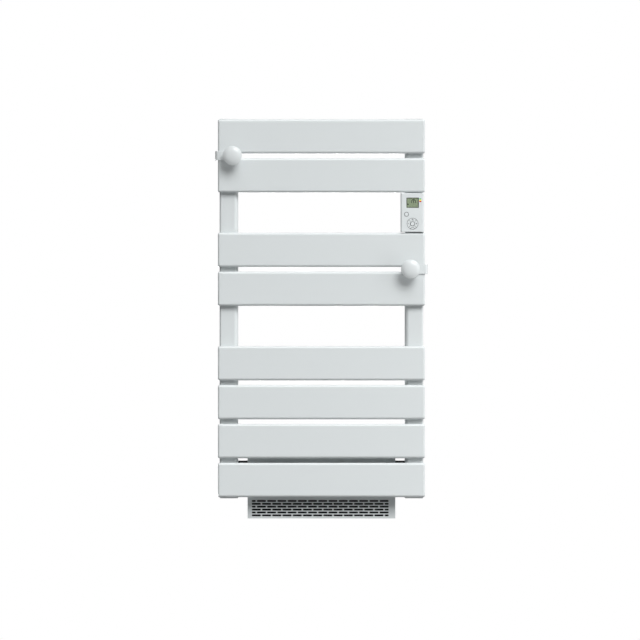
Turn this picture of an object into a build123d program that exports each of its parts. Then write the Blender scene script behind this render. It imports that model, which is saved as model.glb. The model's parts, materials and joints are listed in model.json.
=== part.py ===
from build123d import *
import os
from math import cos, radians, sin

# Fan towel warmer, in millimetres. +Z is up, -Y is the front, and the wall is the plane Y = 0.
# The origin is the centre of the four wall holes.

# Slats: flat steel tubes with welded ends, in groups with a towel gap between them
slat_width = 500
slat_height = 83
slat_thickness = 14
slat_wall = 1.5
slat_front_radius = 6
slat_back_radius = 5
slat_end_length = 5
slat_end_radius = 4
slat_groups = (2, 2, 4)
slat_gap = 11
towel_gap = 97
wall_to_slat_front = 140

# Collectors: the two upright tubes behind the slats
collector_width = 45
collector_depth = 30
collector_wall = 2
collector_overhang = 4
collector_inner_radius = 11
collector_outer_radius = 4.5
collector_back_radius = 4
collector_top_rise = 1
collector_bottom_drop = 2.8
collector_cap_thickness = 4
collector_cap_radius = 2.5

# Heating mats and wiring
mat_thickness = 1.5
mat_side_margin = 8
mat_edge_margin = 1
terminal_width = 18
terminal_height = 14
terminal_to_grommet = 2
wire_hole_radius = 5
grommet_wall = 1.4
grommet_overhang = 2.5
fit_clearance = 0.1
thread_clearance = 0.05
trunk_radius = 3
branch_radius = 1.8
trunk_to_front = 11

# Wall brackets, one pair behind the second slat from the top, one pair behind the second from the bottom
base_radius = 17
base_wall = 4
base_floor = 4
base_depth = 32
base_chamfer = 1
wall_hole_radius = 3.25
stem_wall = 3
stem_start = 14
stem_head_thickness = 5
set_screw_radius = 2.5
set_screw_length = 6
set_socket_radius = 1.3
set_socket_depth = 2
set_screw_from_wall = 22
fixing_shank_radius = 3
fixing_hole_radius = 3.5
fixing_head_radius = 5
fixing_head_height = 4
fixing_socket_radius = 2.9
fixing_socket_depth = 2
fixing_tip = 2
nut_radius = 6
nut_height = 6

# Blower box
sheet = 1.2
blower_width = 357
blower_height = 163
blower_from_wall = 12
blower_drop = 51.6
blower_setback = 43
cover_return = 13
cover_clearance = 0.2
slot_length = 22.15
slot_height = 4.3
slot_bar = 2.56
slot_row_pitch = 6.97
slot_rows = 6
slots_in_row = 13
slots_left_margin = 10
slots_bottom_margin = 5.3
blower_screw_radius = 2
blower_screw_head_radius = 3.8
blower_screw_head_height = 2
cover_screw_length = 4.4
carrier_screw_length = 7
top_screw_from_side = 40
side_screw_from_bottom = 80

# Air intake and dust filter
intake_slot_width = 6
intake_slot_pitch = 12
intake_side_margin = 20
intake_edge_margin = 12
filter_end_gap = 11.7
filter_depth = 58
filter_thickness = 4
filter_rim = 6
filter_right_rim = 12
filter_rib = 2
filter_rib_count = 3
filter_from_back = 9.8
mesh_thickness = 1
mesh_rows = 4
mesh_columns = 28
mesh_bar = 2
mesh_grip = 2
guide_clearance = 0.3
guide_lip = 6
pull_thickness = 2
pull_rim = 3
pull_reach = 9
pull_width = 18

# Fan
fan_axis_from_front = 47
fan_axis_from_bottom = 83
fan_left_margin = 5.3
motor_bay = 55.3
side_plate = 1.5
impeller_radius = 25
impeller_side_gap = 3.5
impeller_disc = 2
impeller_bays = 5
blade_count = 24
blade_chord = 7
blade_thickness = 0.8
blade_angle = 35
hub_radius = 8
hub_length = 12
shaft_radius = 3
shaft_end_gap = 1
shaft_past_motor = 1
shaft_bore_clearance = 0.02
running_clearance = 0.03
bush_radius = 6.5
bush_length = 6
motor_radius = 24
motor_length = 38
motor_wall = 1.5
stator_length = 20
rotor_radius = 12.6
air_gap = 0.5
spacer_radius = 5
spacer_bore = 2
spacer_length = 4.8
scroll_thickness = 1
scroll_gap = 3
scroll_radius = 45
tongue_gap = 4
tongue_angle = 225

# Heater
heater_depth = 15
heater_from_cover = 2
heater_rail = 2.5
heater_end = 6
heater_lift = 0.3
bar_count = 2
bar_thickness = 3
bar_inset = 1
fin_height = 5
fin_thickness = 0.7
fin_pitch = 6
cutout_radius = 8
cutout_height = 5
cutout_back_radius = 4.8
cutout_back_height = 3

# Electrical connections of the blower
block_length = 34
block_depth = 20
block_height = 15
block_from_walls = 8
block_ways = 4
block_hole_radius = 2.2
gland_bore_radius = 4
gland_thread_radius = 8
gland_flange_radius = 11
gland_flange_length = 5.5
gland_dome_radius = 10
gland_dome_length = 13
gland_dome_round = 4
gland_nut_radius = 12
gland_nut_length = 5
gland_thread_end = 1
gland_from_back = 18
gland_from_bottom = 66
lead_radius = 3.5
lead_bend_radius = 20
lead_from_front = 25

# Brackets that carry the blower box on the collectors
carrier_thickness = 2.5
carrier_height = 40
carrier_flange = 35
carrier_below_top = 23.1
carrier_from_front = 1
carrier_side_margin = 3
carrier_hole_inset = 10

# Control unit
control_width = 57
control_depth = 17
control_gap = 1.5
control_beyond_collector = 2
control_wall = 2
control_screw_from_end = 16
control_case_depth = 8
control_side_radius = 4
control_end_radius = 1.2
window_width = 30.2
window_height = 24.9
window_right = 0.7
window_up = 23.7
window_radius = 1.5
lens_thickness = 1.5
lens_recess = 0.2
lens_clearance = 0.15
panel_rim = 1.5
panel_thickness = 2
light_width = 4.6
light_height = 2.8
light_count = 3
light_pitch = 3
light_corner = 0.5
light_proud = 0.1
light_right = 19.2
light_up = 29.8
board_thickness = 1.6
board_margin = 1
board_from_collector = 7
board_wire_clearance = 1
post_radius = 3
post_inset = 7
switch_size = 6
switch_height = 1.2

# Keys of the control unit
key_travel = 0.8
key_gap = 0.3
key_proud = 0.4
key_edge_radius = 0.5
key_flange = 0.8
key_flange_reach = 1.2
key_stem_radius = 1.5
key_to_switch = 0.4
mode_radius = 5.5
mode_right = -14.1
mode_up = -4.2
ring_right = 0.6
ring_up = -26.9
ring_radius = 13.7
ring_inner_radius = 6.2
ring_split = 0.6
ok_radius = 5.6
ok_proud = 0.6
ok_flange_radius = 7.5

# Hooks: a strap bent round slat and collector, with a knob in front
strap_thickness = 2.5
strap_height = 23
strap_clearance = 0.3
strap_side_gap = 4.1
strap_bend_radius = 6
strap_front_reach = 54
strap_back_reach = 51
strap_key_inset = 1.5
strap_key_start = 6
hook_gaps = (0, 1)
knob_radius = 23
knob_rim = 7.7
knob_rim_radius = 2.4
knob_dome = 4.3
knob_from_end = 35
stem_radius = 8
stem_length = 20
hook_screw_radius = 2
hook_screw_head_radius = 3.8
hook_screw_head_height = 3
hook_screw_length = 22
hook_screw_sink = 7
hook_cross_length = 4
hook_cross_width = 0.8
hook_cross_depth = 1.5

# Places that follow from these sizes
slat_front_y = -wall_to_slat_front
slat_back_y = slat_front_y + slat_thickness
collector_front_y = slat_back_y
collector_back_y = collector_front_y + collector_depth
collector_mid_y = (collector_front_y + collector_back_y) / 2
collector_outer_x = slat_width / 2 - collector_overhang
collector_inner_x = collector_outer_x - collector_width
collector_x = (collector_outer_x + collector_inner_x) / 2
trunk_y = collector_front_y + trunk_to_front
grommet_front_y = slat_back_y - slat_wall - grommet_overhang
mat_back_y = slat_front_y + slat_wall + mat_thickness
terminal_back_y = grommet_front_y - terminal_to_grommet


def slat_centres():
    """Heights of the slats' centres from the top one down, with the stack centred on the origin."""
    group_ends = [sum(slat_groups[: n + 1]) for n in range(len(slat_groups) - 1)]
    count = sum(slat_groups)
    small_gaps = count - 1 - len(group_ends)
    stack = count * slat_height + small_gaps * slat_gap + len(group_ends) * towel_gap
    centres = [stack / 2 - slat_height / 2]
    for n in range(1, count):
        gap = towel_gap if n in group_ends else slat_gap
        centres.append(centres[-1] - slat_height - gap)
    return centres


slat_z = slat_centres()
stack_top = slat_z[0] + slat_height / 2
stack_bottom = slat_z[-1] - slat_height / 2
bracket_z = (slat_z[1], slat_z[-2])

blower_left = -blower_width / 2
blower_right = blower_width / 2
blower_front_y = slat_front_y + blower_setback
blower_back_y = -blower_from_wall
blower_bottom = stack_bottom - blower_drop
blower_top = blower_bottom + blower_height
fan_y = blower_front_y + fan_axis_from_front
fan_z = blower_bottom + fan_axis_from_bottom
chamber_left = blower_left + sheet + fan_left_margin
chamber_right = blower_right - sheet - motor_bay
lead_y = blower_front_y + lead_from_front
carrier_top = blower_top - carrier_below_top
carrier_bottom = carrier_top - carrier_height
lead_z = (carrier_bottom + stack_bottom - collector_bottom_drop + collector_cap_thickness) / 2
gland_y = blower_back_y - gland_from_back
gland_z = blower_bottom + gland_from_bottom
filter_left = blower_left + sheet + filter_end_gap
filter_right = blower_right + guide_clearance
filter_back_y = blower_back_y - filter_from_back
filter_front_y = filter_back_y - filter_depth
filter_top = blower_top - sheet - guide_clearance
filter_bottom = filter_top - filter_thickness
filter_mid = (filter_top + filter_bottom) / 2

control_slat = slat_groups[0]
control_top = slat_z[control_slat - 1] - slat_height / 2 - control_gap
control_bottom = slat_z[control_slat] + slat_height / 2 + control_gap
control_height = control_top - control_bottom
control_z = (control_top + control_bottom) / 2
control_x = collector_outer_x + control_beyond_collector - control_width / 2
control_back_y = collector_front_y
control_front_y = control_back_y - control_depth
control_seam_y = control_back_y - control_case_depth
cover_inside_y = control_front_y + control_wall
board_back_y = control_back_y - board_from_collector
board_front_y = board_back_y - board_thickness
switch_top_y = board_front_y - switch_height
key_front_y = control_front_y - key_proud
mode_x = control_x + mode_right
mode_z = control_z + mode_up
ring_x = control_x + ring_right
ring_z = control_z + ring_up


def block(x0, x1, y0, y1, z0, z1):
    """A box between two corners."""
    size = Box(abs(x1 - x0), abs(y1 - y0), abs(z1 - z0))
    return Pos((x0 + x1) / 2, (y0 + y1) / 2, (z0 + z1) / 2) * size


def rod_x(radius, x0, x1, y, z):
    return Pos((x0 + x1) / 2, y, z) * Rot(0, 90, 0) * Cylinder(radius, abs(x1 - x0))


def rod_y(radius, x, y0, y1, z):
    return Pos(x, (y0 + y1) / 2, z) * Rot(90, 0, 0) * Cylinder(radius, abs(y1 - y0))


def rod_z(radius, x, y, z0, z1):
    return Pos(x, y, (z0 + z1) / 2) * Cylinder(radius, abs(z1 - z0))


def rounded_outline(width, height, radii):
    """A rectangle with its own radius at each corner: low left, low right, high right, high left."""
    outline = Rectangle(width, height)
    signs = ((-1, -1), (1, -1), (1, 1), (-1, 1))
    for (side, end), radius in zip(signs, radii):
        if radius > 0:
            place = (side * width / 2, end * height / 2, 0)
            outline = fillet(outline.vertices().sort_by_distance(place)[0], radius)
    return outline


def upright(outline, x, y, z0, z1):
    """An outline drawn from above, stood up between two heights."""
    return extrude(Pos(x, y, z0) * outline, amount=z1 - z0)


def facing(outline, x, z, y_front, y_back):
    """An outline drawn as seen from the front, given a depth."""
    place = Plane((x, y_back, z), x_dir=(1, 0, 0), z_dir=(0, -1, 0))
    return extrude(place * outline, amount=y_back - y_front)


def across(outline, y, z, x0, x1):
    """An outline drawn as seen from the right, with Y to its right, laid along X."""
    return extrude(Plane((x0, y, z), x_dir=(0, 1, 0), z_dir=(1, 0, 0)) * outline, amount=x1 - x0)


def solids(*pieces):
    """Separate pieces that share one node."""
    return Compound(children=[solid for piece in pieces for solid in piece.solids()])


# Slats and collectors


def slat_outline(inset):
    front = slat_front_radius - inset
    back = slat_back_radius - inset
    return rounded_outline(slat_thickness - 2 * inset, slat_height - 2 * inset, (front, back, back, front))


def slat(z):
    y = (slat_front_y + slat_back_y) / 2
    reach = slat_width / 2 - slat_end_length
    tube = across(slat_outline(0), y, z, -reach, reach) - across(slat_outline(slat_wall), y, z, -reach, reach)
    return tube - rod_y(wire_hole_radius, collector_x, slat_back_y - 2 * slat_wall, slat_back_y + 1, z)


def slat_end(side, z):
    y = (slat_front_y + slat_back_y) / 2
    inner = side * (slat_width / 2 - slat_end_length)
    outer = side * slat_width / 2
    cap = across(slat_outline(0), y, z, min(inner, outer), max(inner, outer))
    rim = cap.faces().sort_by(Axis.X)[-1 if side > 0 else 0].edges()
    return fillet(rim, slat_end_radius)


def mat_height():
    corner = max(slat_front_radius, slat_back_radius) - slat_wall
    return slat_height - 2 * (slat_wall + corner + mat_edge_margin)


def heating_mat(z):
    """A flat mat against the inside of the slat's front, with a terminal in line with the wire hole."""
    reach = slat_width / 2 - slat_end_length - mat_side_margin
    half = mat_height() / 2
    mat = block(-reach, reach, slat_front_y + slat_wall, mat_back_y, z - half, z + half)
    terminal = block(
        collector_x - terminal_width / 2, collector_x + terminal_width / 2,
        mat_back_y, terminal_back_y, z - terminal_height / 2, z + terminal_height / 2)
    return mat + terminal


def collector_outline(side, inset):
    inner = collector_inner_radius - inset
    outer = collector_outer_radius - inset
    back = collector_back_radius - inset
    front_left, front_right = (inner, outer) if side > 0 else (outer, inner)
    return rounded_outline(collector_width - 2 * inset, collector_depth - 2 * inset,
                           (front_left, front_right, back, back))


def collector(side):
    x = side * collector_x
    top = stack_top + collector_top_rise - collector_cap_thickness
    bottom = stack_bottom - collector_bottom_drop + collector_cap_thickness
    tube = upright(collector_outline(side, 0), x, collector_mid_y, bottom, top)
    tube -= upright(collector_outline(side, collector_wall), x, collector_mid_y, bottom, top)
    outside_back = collector_back_y + 1
    inside_back = collector_back_y - collector_wall - 1
    for z in bracket_z:
        tube -= rod_y(fixing_hole_radius, x, inside_back, outside_back, z)
    for z in carrier_screw_heights():
        tube -= rod_y(blower_screw_radius + fit_clearance, x, inside_back, outside_back, z)
    if side > 0:
        front = (collector_front_y - 1, collector_front_y + collector_wall + 1)
        for z in slat_z + [control_z]:
            tube -= rod_y(wire_hole_radius, x, front[0], front[1], z)
        for z in control_screw_heights():
            tube -= rod_y(blower_screw_radius + fit_clearance, x, front[0], front[1], z)
        tube -= rod_y(lead_radius + fit_clearance, x, inside_back, outside_back, lead_z)
    return tube


def collector_cap(side, end):
    x = side * collector_x
    if end > 0:
        outer = stack_top + collector_top_rise
        inner = outer - collector_cap_thickness
    else:
        outer = stack_bottom - collector_bottom_drop
        inner = outer + collector_cap_thickness
    cap = upright(collector_outline(side, 0), x, collector_mid_y, min(inner, outer), max(inner, outer))
    rim = cap.faces().sort_by(Axis.Z)[-1 if end > 0 else 0].edges()
    return fillet(rim, collector_cap_radius)


def grommet(z):
    """A bush through the collector's front wall and the slat's back wall."""
    back = collector_front_y + collector_wall + grommet_overhang
    outer = wire_hole_radius - fit_clearance
    inner = outer - grommet_wall
    tube = rod_y(outer, collector_x, grommet_front_y, back, z)
    return tube - rod_y(inner, collector_x, grommet_front_y, back, z)


def wiring_harness():
    """A trunk in the right collector with a branch to each terminal and to the control unit."""
    trunk = rod_z(trunk_radius, collector_x, trunk_y, lead_z - trunk_radius, slat_z[0] + trunk_radius)
    for z in slat_z:
        trunk += rod_y(branch_radius, collector_x, terminal_back_y, trunk_y, z)
    trunk += rod_y(branch_radius, collector_x, board_back_y, trunk_y, control_z)
    return trunk


def blower_lead():
    """From the foot of the trunk out through the back of the collector, and round into the box."""
    start = (collector_x, trunk_y + trunk_radius, lead_z)
    corner = (collector_x, lead_y, lead_z)
    end = (blower_right - sheet - gland_nut_length, lead_y, lead_z)
    path = FilletPolyline(start, corner, end, radius=lead_bend_radius)
    section = Plane(start, z_dir=(0, 1, 0)) * Circle(lead_radius)
    return sweep(section, path=path)


# Wall brackets


def bracket_places():
    return [(side * collector_x, z) for z in bracket_z for side in (-1, 1)]


def wall_base(x, z):
    """A cup on the wall. One screw through its floor holds it, and a set screw locks the stem."""
    bore = base_radius - base_wall
    cup = rod_y(base_radius, x, -base_depth, 0, z) - rod_y(bore, x, -base_depth, -base_floor, z)
    rim = cup.faces().sort_by(Axis.Y)[0].edges().sort_by(SortBy.LENGTH)[-1]
    cup = chamfer(rim, base_chamfer)
    cup -= rod_y(wall_hole_radius, x, -base_floor - 1, 1, z)
    return cup - rod_z(set_screw_radius, x, -set_screw_from_wall, z - base_radius - 1, z)


def stem_outer_radius():
    return base_radius - base_wall - fit_clearance


def bracket_stem(x, z):
    """A tube that slides in the cup, with a closed head against the back of the collector."""
    outer = stem_outer_radius()
    head_back = collector_back_y + stem_head_thickness
    tube = rod_y(outer, x, collector_back_y, -stem_start, z)
    tube -= rod_y(outer - stem_wall, x, head_back, -stem_start, z)
    tube += rod_y(base_radius, x, collector_back_y, head_back, z)
    return tube - rod_y(fixing_hole_radius, x, collector_back_y - 1, head_back + 1, z)


def set_screw(x, z):
    top = z - stem_outer_radius() - fit_clearance
    screw = rod_z(set_screw_radius - fit_clearance, x, -set_screw_from_wall, top - set_screw_length, top)
    socket = Pos(x, -set_screw_from_wall, top - set_screw_length) * RegularPolygon(set_socket_radius, 6)
    return screw - extrude(socket, amount=set_socket_depth)


def fixing_screw(x, z):
    """From inside the stem, through its head and the collector's back wall, into the nut."""
    seat = collector_back_y + stem_head_thickness
    tip = collector_back_y - collector_wall - nut_height - fixing_tip
    screw = rod_y(fixing_head_radius, x, seat, seat + fixing_head_height, z)
    screw += rod_y(fixing_shank_radius - thread_clearance, x, tip, seat, z)
    place = Plane((x, seat + fixing_head_height, z), z_dir=(0, -1, 0))
    return screw - extrude(place * RegularPolygon(fixing_socket_radius, 6), amount=fixing_socket_depth)


def welded_nut(x, z):
    back = collector_back_y - collector_wall
    front = back - nut_height
    return rod_y(nut_radius, x, front, back, z) - rod_y(fixing_shank_radius, x, front, back, z)


# Blower box


def cover_screw_places():
    """Where the screws enter the housing: on top near both ends, and one low on each side."""
    y = blower_front_y + sheet + cover_return / 2
    top = [("top", side * (blower_width / 2 - top_screw_from_side), y) for side in (-1, 1)]
    sides = [("side", side, y) for side in (-1, 1)]
    return top + sides


def cover_screw_shank(kind, place, y, radius):
    """The shank alone, which with a larger radius cuts its own hole."""
    if kind == "top":
        return rod_z(radius, place, y, blower_top - cover_screw_length, blower_top)
    wall = place * blower_width / 2
    tip = wall - place * cover_screw_length
    return rod_x(radius, tip, wall, y, blower_bottom + side_screw_from_bottom)


def cover_screw_head(kind, place, y):
    if kind == "top":
        return rod_z(blower_screw_head_radius, place, y, blower_top, blower_top + blower_screw_head_height)
    wall = place * blower_width / 2
    face = wall + place * blower_screw_head_height
    return rod_x(blower_screw_head_radius, wall, face, y, blower_bottom + side_screw_from_bottom)


def carrier_screw_heights():
    return [carrier_top - carrier_hole_inset, carrier_bottom + carrier_hole_inset]


def blower_housing():
    """The rear box, open to the front, with its intake in the top and guides for the filter below it."""
    front = blower_front_y + sheet
    box = block(blower_left, blower_right, front, blower_back_y, blower_bottom, blower_top)
    box -= block(blower_left + sheet, blower_right - sheet, front, blower_back_y - sheet,
                 blower_bottom + sheet, blower_top - sheet)
    slot = SlotOverall(filter_depth - 2 * intake_edge_margin, intake_slot_width, rotation=90)
    slot_y = (filter_front_y + filter_back_y) / 2
    count = int((blower_width - 2 * intake_side_margin) // intake_slot_pitch)
    slots = [Pos((n - (count - 1) / 2) * intake_slot_pitch, slot_y) * slot for n in range(count)]
    box -= extrude(Pos(0, 0, blower_top - 2 * sheet) * Sketch(children=slots), amount=3 * sheet)
    wall_inside = blower_right - 2 * sheet
    wall_outside = blower_right + 1
    box -= block(wall_inside, wall_outside, filter_front_y - guide_clearance,
                 filter_back_y + guide_clearance, filter_bottom - guide_clearance, blower_top - sheet)
    box -= rod_x(lead_radius + fit_clearance, wall_inside, wall_outside, lead_y, lead_z)
    box -= rod_x(gland_thread_radius + fit_clearance, wall_inside, wall_outside, gland_y, gland_z)
    hole_radius = blower_screw_radius + fit_clearance
    for kind, place, y in cover_screw_places():
        box -= cover_screw_shank(kind, place, y, hole_radius)
    for side in (-1, 1):
        for z in carrier_screw_heights():
            box -= rod_x(hole_radius, side * wall_inside, side * wall_outside, carrier_hole_y(), z)
    return solids(box, filter_guide(-1), filter_guide(1))


def filter_guide(side):
    """An angle under the top: the front one for side -1, the rear one for side 1."""
    edge = filter_back_y if side > 0 else filter_front_y
    web_inner = edge + side * guide_clearance
    web_outer = web_inner + side * sheet
    left = blower_left + sheet
    right = blower_right - sheet
    lip_top = filter_bottom - guide_clearance
    web = block(left, right, web_inner, web_outer, lip_top - sheet, blower_top - sheet)
    return web + block(left, right, edge - side * guide_lip, web_outer, lip_top - sheet, lip_top)


def outlet_slots():
    """Rows of long slots in brick bond. Odd rows from the top start with a half slot."""
    pitch = slot_length + slot_bar
    half_length = pitch / 2 - slot_bar
    left = blower_left + slots_left_margin
    lowest = blower_bottom + slots_bottom_margin + slot_height / 2
    half_slot = SlotOverall(half_length, slot_height)
    full_slot = SlotOverall(slot_length, slot_height)
    slots = []
    for row in range(slot_rows):
        z = lowest + row * slot_row_pitch
        starts_with_half = (slot_rows - row) % 2 == 1
        half_left = left if starts_with_half else left + slots_in_row * pitch
        first_full = left + pitch / 2 if starts_with_half else left
        slots.append(Pos(half_left + half_length / 2, z) * half_slot)
        for n in range(slots_in_row):
            slots.append(Pos(first_full + n * pitch + slot_length / 2, z) * full_slot)
    return slots


def blower_cover():
    """The front: a flat face with the outlet slots, and returns that nest in the housing."""
    plate_back = blower_front_y + sheet
    gap = sheet + cover_clearance
    plate = block(blower_left, blower_right, blower_front_y, plate_back, blower_bottom, blower_top)
    returns = block(blower_left + gap, blower_right - gap, plate_back, plate_back + cover_return,
                    blower_bottom + gap, blower_top - gap)
    gap += sheet
    returns -= block(blower_left + gap, blower_right - gap, plate_back, plate_back + cover_return,
                     blower_bottom + gap, blower_top - gap)
    cover = plate + returns
    place = Plane((0, plate_back + 1, 0), x_dir=(1, 0, 0), z_dir=(0, -1, 0))
    cover -= extrude(place * Sketch(children=outlet_slots()), amount=sheet + 2)
    for kind, place, y in cover_screw_places():
        cover -= cover_screw_shank(kind, place, y, blower_screw_radius + fit_clearance)
    return cover


def carrier_hole_y():
    return blower_front_y + sheet + cover_return + (carrier_flange - sheet - cover_return) / 2


def carrier(side):
    """An angle from the back of a collector to the side of the blower box."""
    wall = side * blower_width / 2
    flange = wall + side * carrier_thickness
    far = side * (collector_outer_x - carrier_side_margin)
    back = collector_back_y + carrier_thickness
    plate = block(wall, far, collector_back_y, back, carrier_bottom, carrier_top)
    flange_front = min(collector_back_y, blower_front_y + carrier_from_front)
    flange_back = blower_front_y + carrier_flange
    plate += block(wall, flange, flange_front, flange_back, carrier_bottom, carrier_top)
    hole_radius = blower_screw_radius + fit_clearance
    for z in carrier_screw_heights():
        plate -= rod_y(hole_radius, side * collector_x, collector_back_y - 1, back + 1, z)
        plate -= rod_x(hole_radius, wall - side, flange + side, carrier_hole_y(), z)
    return plate


def blower_screws():
    """The cover's screws, and those of the two carriers, all of one kind."""
    screws = [
        cover_screw_shank(kind, place, y, blower_screw_radius) + cover_screw_head(kind, place, y)
        for kind, place, y in cover_screw_places()
    ]
    seat = collector_back_y + carrier_thickness
    for side in (-1, 1):
        x = side * collector_x
        y = carrier_hole_y()
        flange = side * (blower_width / 2 + carrier_thickness)
        face = flange + side * blower_screw_head_height
        for z in carrier_screw_heights():
            shank = rod_y(blower_screw_radius, x, seat - carrier_screw_length, seat, z)
            head = rod_y(blower_screw_head_radius, x, seat, seat + blower_screw_head_height, z)
            screws.append(shank + head)
            shank = rod_x(blower_screw_radius, flange - side * carrier_screw_length, flange, y, z)
            head = rod_x(blower_screw_head_radius, flange, face, y, z)
            screws.append(shank + head)
    return solids(*screws)


# Dust filter


def filter_opening():
    """The opening inside the frame's rim: left, right, front and back."""
    return (filter_left + filter_rim, blower_right - filter_right_rim,
            filter_front_y + filter_rim, filter_back_y - filter_rim)


def filter_frame():
    """A rim with ribs, open for the air, and a pull outside the box's right side."""
    frame = block(filter_left, filter_right, filter_front_y, filter_back_y, filter_bottom, filter_top)
    left, right, front, back = filter_opening()
    frame -= block(left, right, front, back, filter_bottom, filter_top)
    for n in range(1, filter_rib_count + 1):
        x = left + n * (right - left) / (filter_rib_count + 1)
        frame += block(x - filter_rib / 2, x + filter_rib / 2, front, back, filter_bottom, filter_top)
    grip = mesh_grip + fit_clearance
    half = mesh_thickness / 2 + fit_clearance
    frame -= block(left - grip, right + grip, front - grip, back + grip, filter_mid - half, filter_mid + half)
    plate = block(filter_right, filter_right + pull_thickness, filter_front_y - pull_rim,
                  filter_back_y + pull_rim, filter_bottom - pull_rim, blower_top)
    middle = (front + back) / 2
    handle = block(filter_right, filter_right + pull_reach, middle - pull_width / 2, middle + pull_width / 2,
                   filter_bottom, filter_bottom + pull_thickness)
    return frame + plate + handle


def filter_mesh():
    """A thin net in the frame's groove."""
    left, right, front, back = filter_opening()
    bottom = filter_mid - mesh_thickness / 2
    net = block(left - mesh_grip, right + mesh_grip, front - mesh_grip, back + mesh_grip,
                bottom, bottom + mesh_thickness)
    width = (right - left) / mesh_columns
    depth = (back - front) / mesh_rows
    hole = Rectangle(width - mesh_bar, depth - mesh_bar)
    holes = [
        Pos(left + (column + 0.5) * width, front + (row + 0.5) * depth) * hole
        for row in range(mesh_rows) for column in range(mesh_columns)
    ]
    return net - extrude(Pos(0, 0, bottom) * Sketch(children=holes), amount=mesh_thickness)


# Fan


def inside_walls():
    """The free space of the housing: behind the cover, back, bottom, and the guides' underside."""
    behind_cover = blower_front_y + 2 * sheet + cover_return
    under_guides = filter_bottom - guide_clearance - sheet
    return behind_cover, blower_back_y - sheet, blower_bottom + sheet, under_guides


def fan_side_plate(x0, x1, hole_radius):
    """A plate across the box that carries one end of the fan, cut back behind the cover's returns."""
    behind_cover, back, bottom, top = inside_walls()
    plate = block(x0, x1, behind_cover, back, bottom, top - guide_clearance)
    inset = 2 * sheet + 2 * cover_clearance
    plate += block(x0, x1, blower_front_y + sheet + guide_clearance, behind_cover,
                   blower_bottom + inset, top - guide_clearance)
    return plate - rod_x(hole_radius, x0 - 1, x1 + 1, fan_y, fan_z)


def fan_side_plates():
    left = fan_side_plate(chamber_left - side_plate, chamber_left, bush_radius + shaft_bore_clearance)
    right = fan_side_plate(chamber_right, chamber_right + side_plate, hub_radius)
    return solids(left, right)


def scroll_floor():
    return blower_bottom + sheet + cover_clearance + sheet + scroll_thickness / 2 + guide_clearance


def fan_scroll():
    """The curved guide behind and below the impeller, ending as the floor of the outlet."""
    back = fan_y + impeller_radius + scroll_gap + scroll_thickness / 2
    top = fan_z + impeller_radius
    front = blower_front_y + sheet + guide_clearance
    path = FilletPolyline((back, top), (back, scroll_floor()), (front, scroll_floor()), radius=scroll_radius)
    return across(trace(path, scroll_thickness), 0, 0, chamber_left, chamber_right)


def fan_tongue():
    """The cut-off in front of the impeller: it starts at the cover and folds up beside the blades."""
    slots_top = blower_bottom + slots_bottom_margin + (slot_rows - 1) * slot_row_pitch + slot_height
    front = blower_front_y + sheet + guide_clearance
    angle = radians(tongue_angle)
    reach = impeller_radius + tongue_gap
    nose = (fan_y + reach * cos(angle), fan_z + reach * sin(angle))
    fold = (fan_y - reach - scroll_thickness, fan_z)
    path = FilletPolyline((front, slots_top + scroll_thickness), nose, fold, radius=scroll_thickness)
    return across(trace(path, scroll_thickness), 0, 0, chamber_left, chamber_right)


def impeller():
    """A drum of slanted blades between discs, with a hub at each end."""
    left = chamber_left + impeller_side_gap
    right = chamber_right - impeller_side_gap
    pitch_radius = impeller_radius - blade_chord / 2
    blade = Rectangle(blade_chord, blade_thickness)
    blades = [
        Rot(0, 0, n * 360 / blade_count) * Pos(pitch_radius, 0) * Rot(0, 0, blade_angle) * blade
        for n in range(blade_count)
    ]
    drum = across(Sketch(children=blades), fan_y, fan_z, left, right)
    step = (right - left - impeller_disc) / impeller_bays
    disc_inner = impeller_radius - blade_chord
    for n in range(impeller_bays + 1):
        x = left + n * step
        disc = rod_x(impeller_radius, x, x + impeller_disc, fan_y, fan_z)
        if 0 < n < impeller_bays:
            disc -= rod_x(disc_inner, x, x + impeller_disc, fan_y, fan_z)
        drum += disc
    for start, end in ((left, left + hub_length), (right - hub_length, right)):
        drum += rod_x(hub_radius, start, end, fan_y, fan_z)
        drum -= rod_x(shaft_radius + shaft_bore_clearance, start - 1, end + 1, fan_y, fan_z)
    return drum


def motor_left():
    return chamber_right + side_plate + spacer_length


def motor_right():
    return motor_left() + motor_length


def fan_shafts():
    """A stub in the left bush, and the motor's shaft with its rotor, which ends in the right hub."""
    left = chamber_left - side_plate - bush_length / 2
    stub_end = chamber_left + impeller_side_gap + hub_length - shaft_end_gap
    stub = rod_x(shaft_radius, left, stub_end, fan_y, fan_z)
    right = chamber_right - impeller_side_gap - hub_length + shaft_end_gap
    shaft = rod_x(shaft_radius, right, motor_right() + shaft_past_motor, fan_y, fan_z)
    middle = (motor_left() + motor_right()) / 2
    rotor = rod_x(rotor_radius, middle - stator_length / 2, middle + stator_length / 2, fan_y, fan_z)
    return solids(stub, shaft + rotor)


def bush(x):
    tube = rod_x(bush_radius, x - bush_length / 2, x + bush_length / 2, fan_y, fan_z)
    return tube - rod_x(shaft_radius + running_clearance, x - bush_length, x + bush_length, fan_y, fan_z)


def fan_bushes():
    left = chamber_left - side_plate / 2
    return solids(bush(left), bush(motor_left() + motor_wall + bush_length / 2 - side_plate),
                  bush(motor_right() - motor_wall - bush_length / 2 + side_plate))


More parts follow.
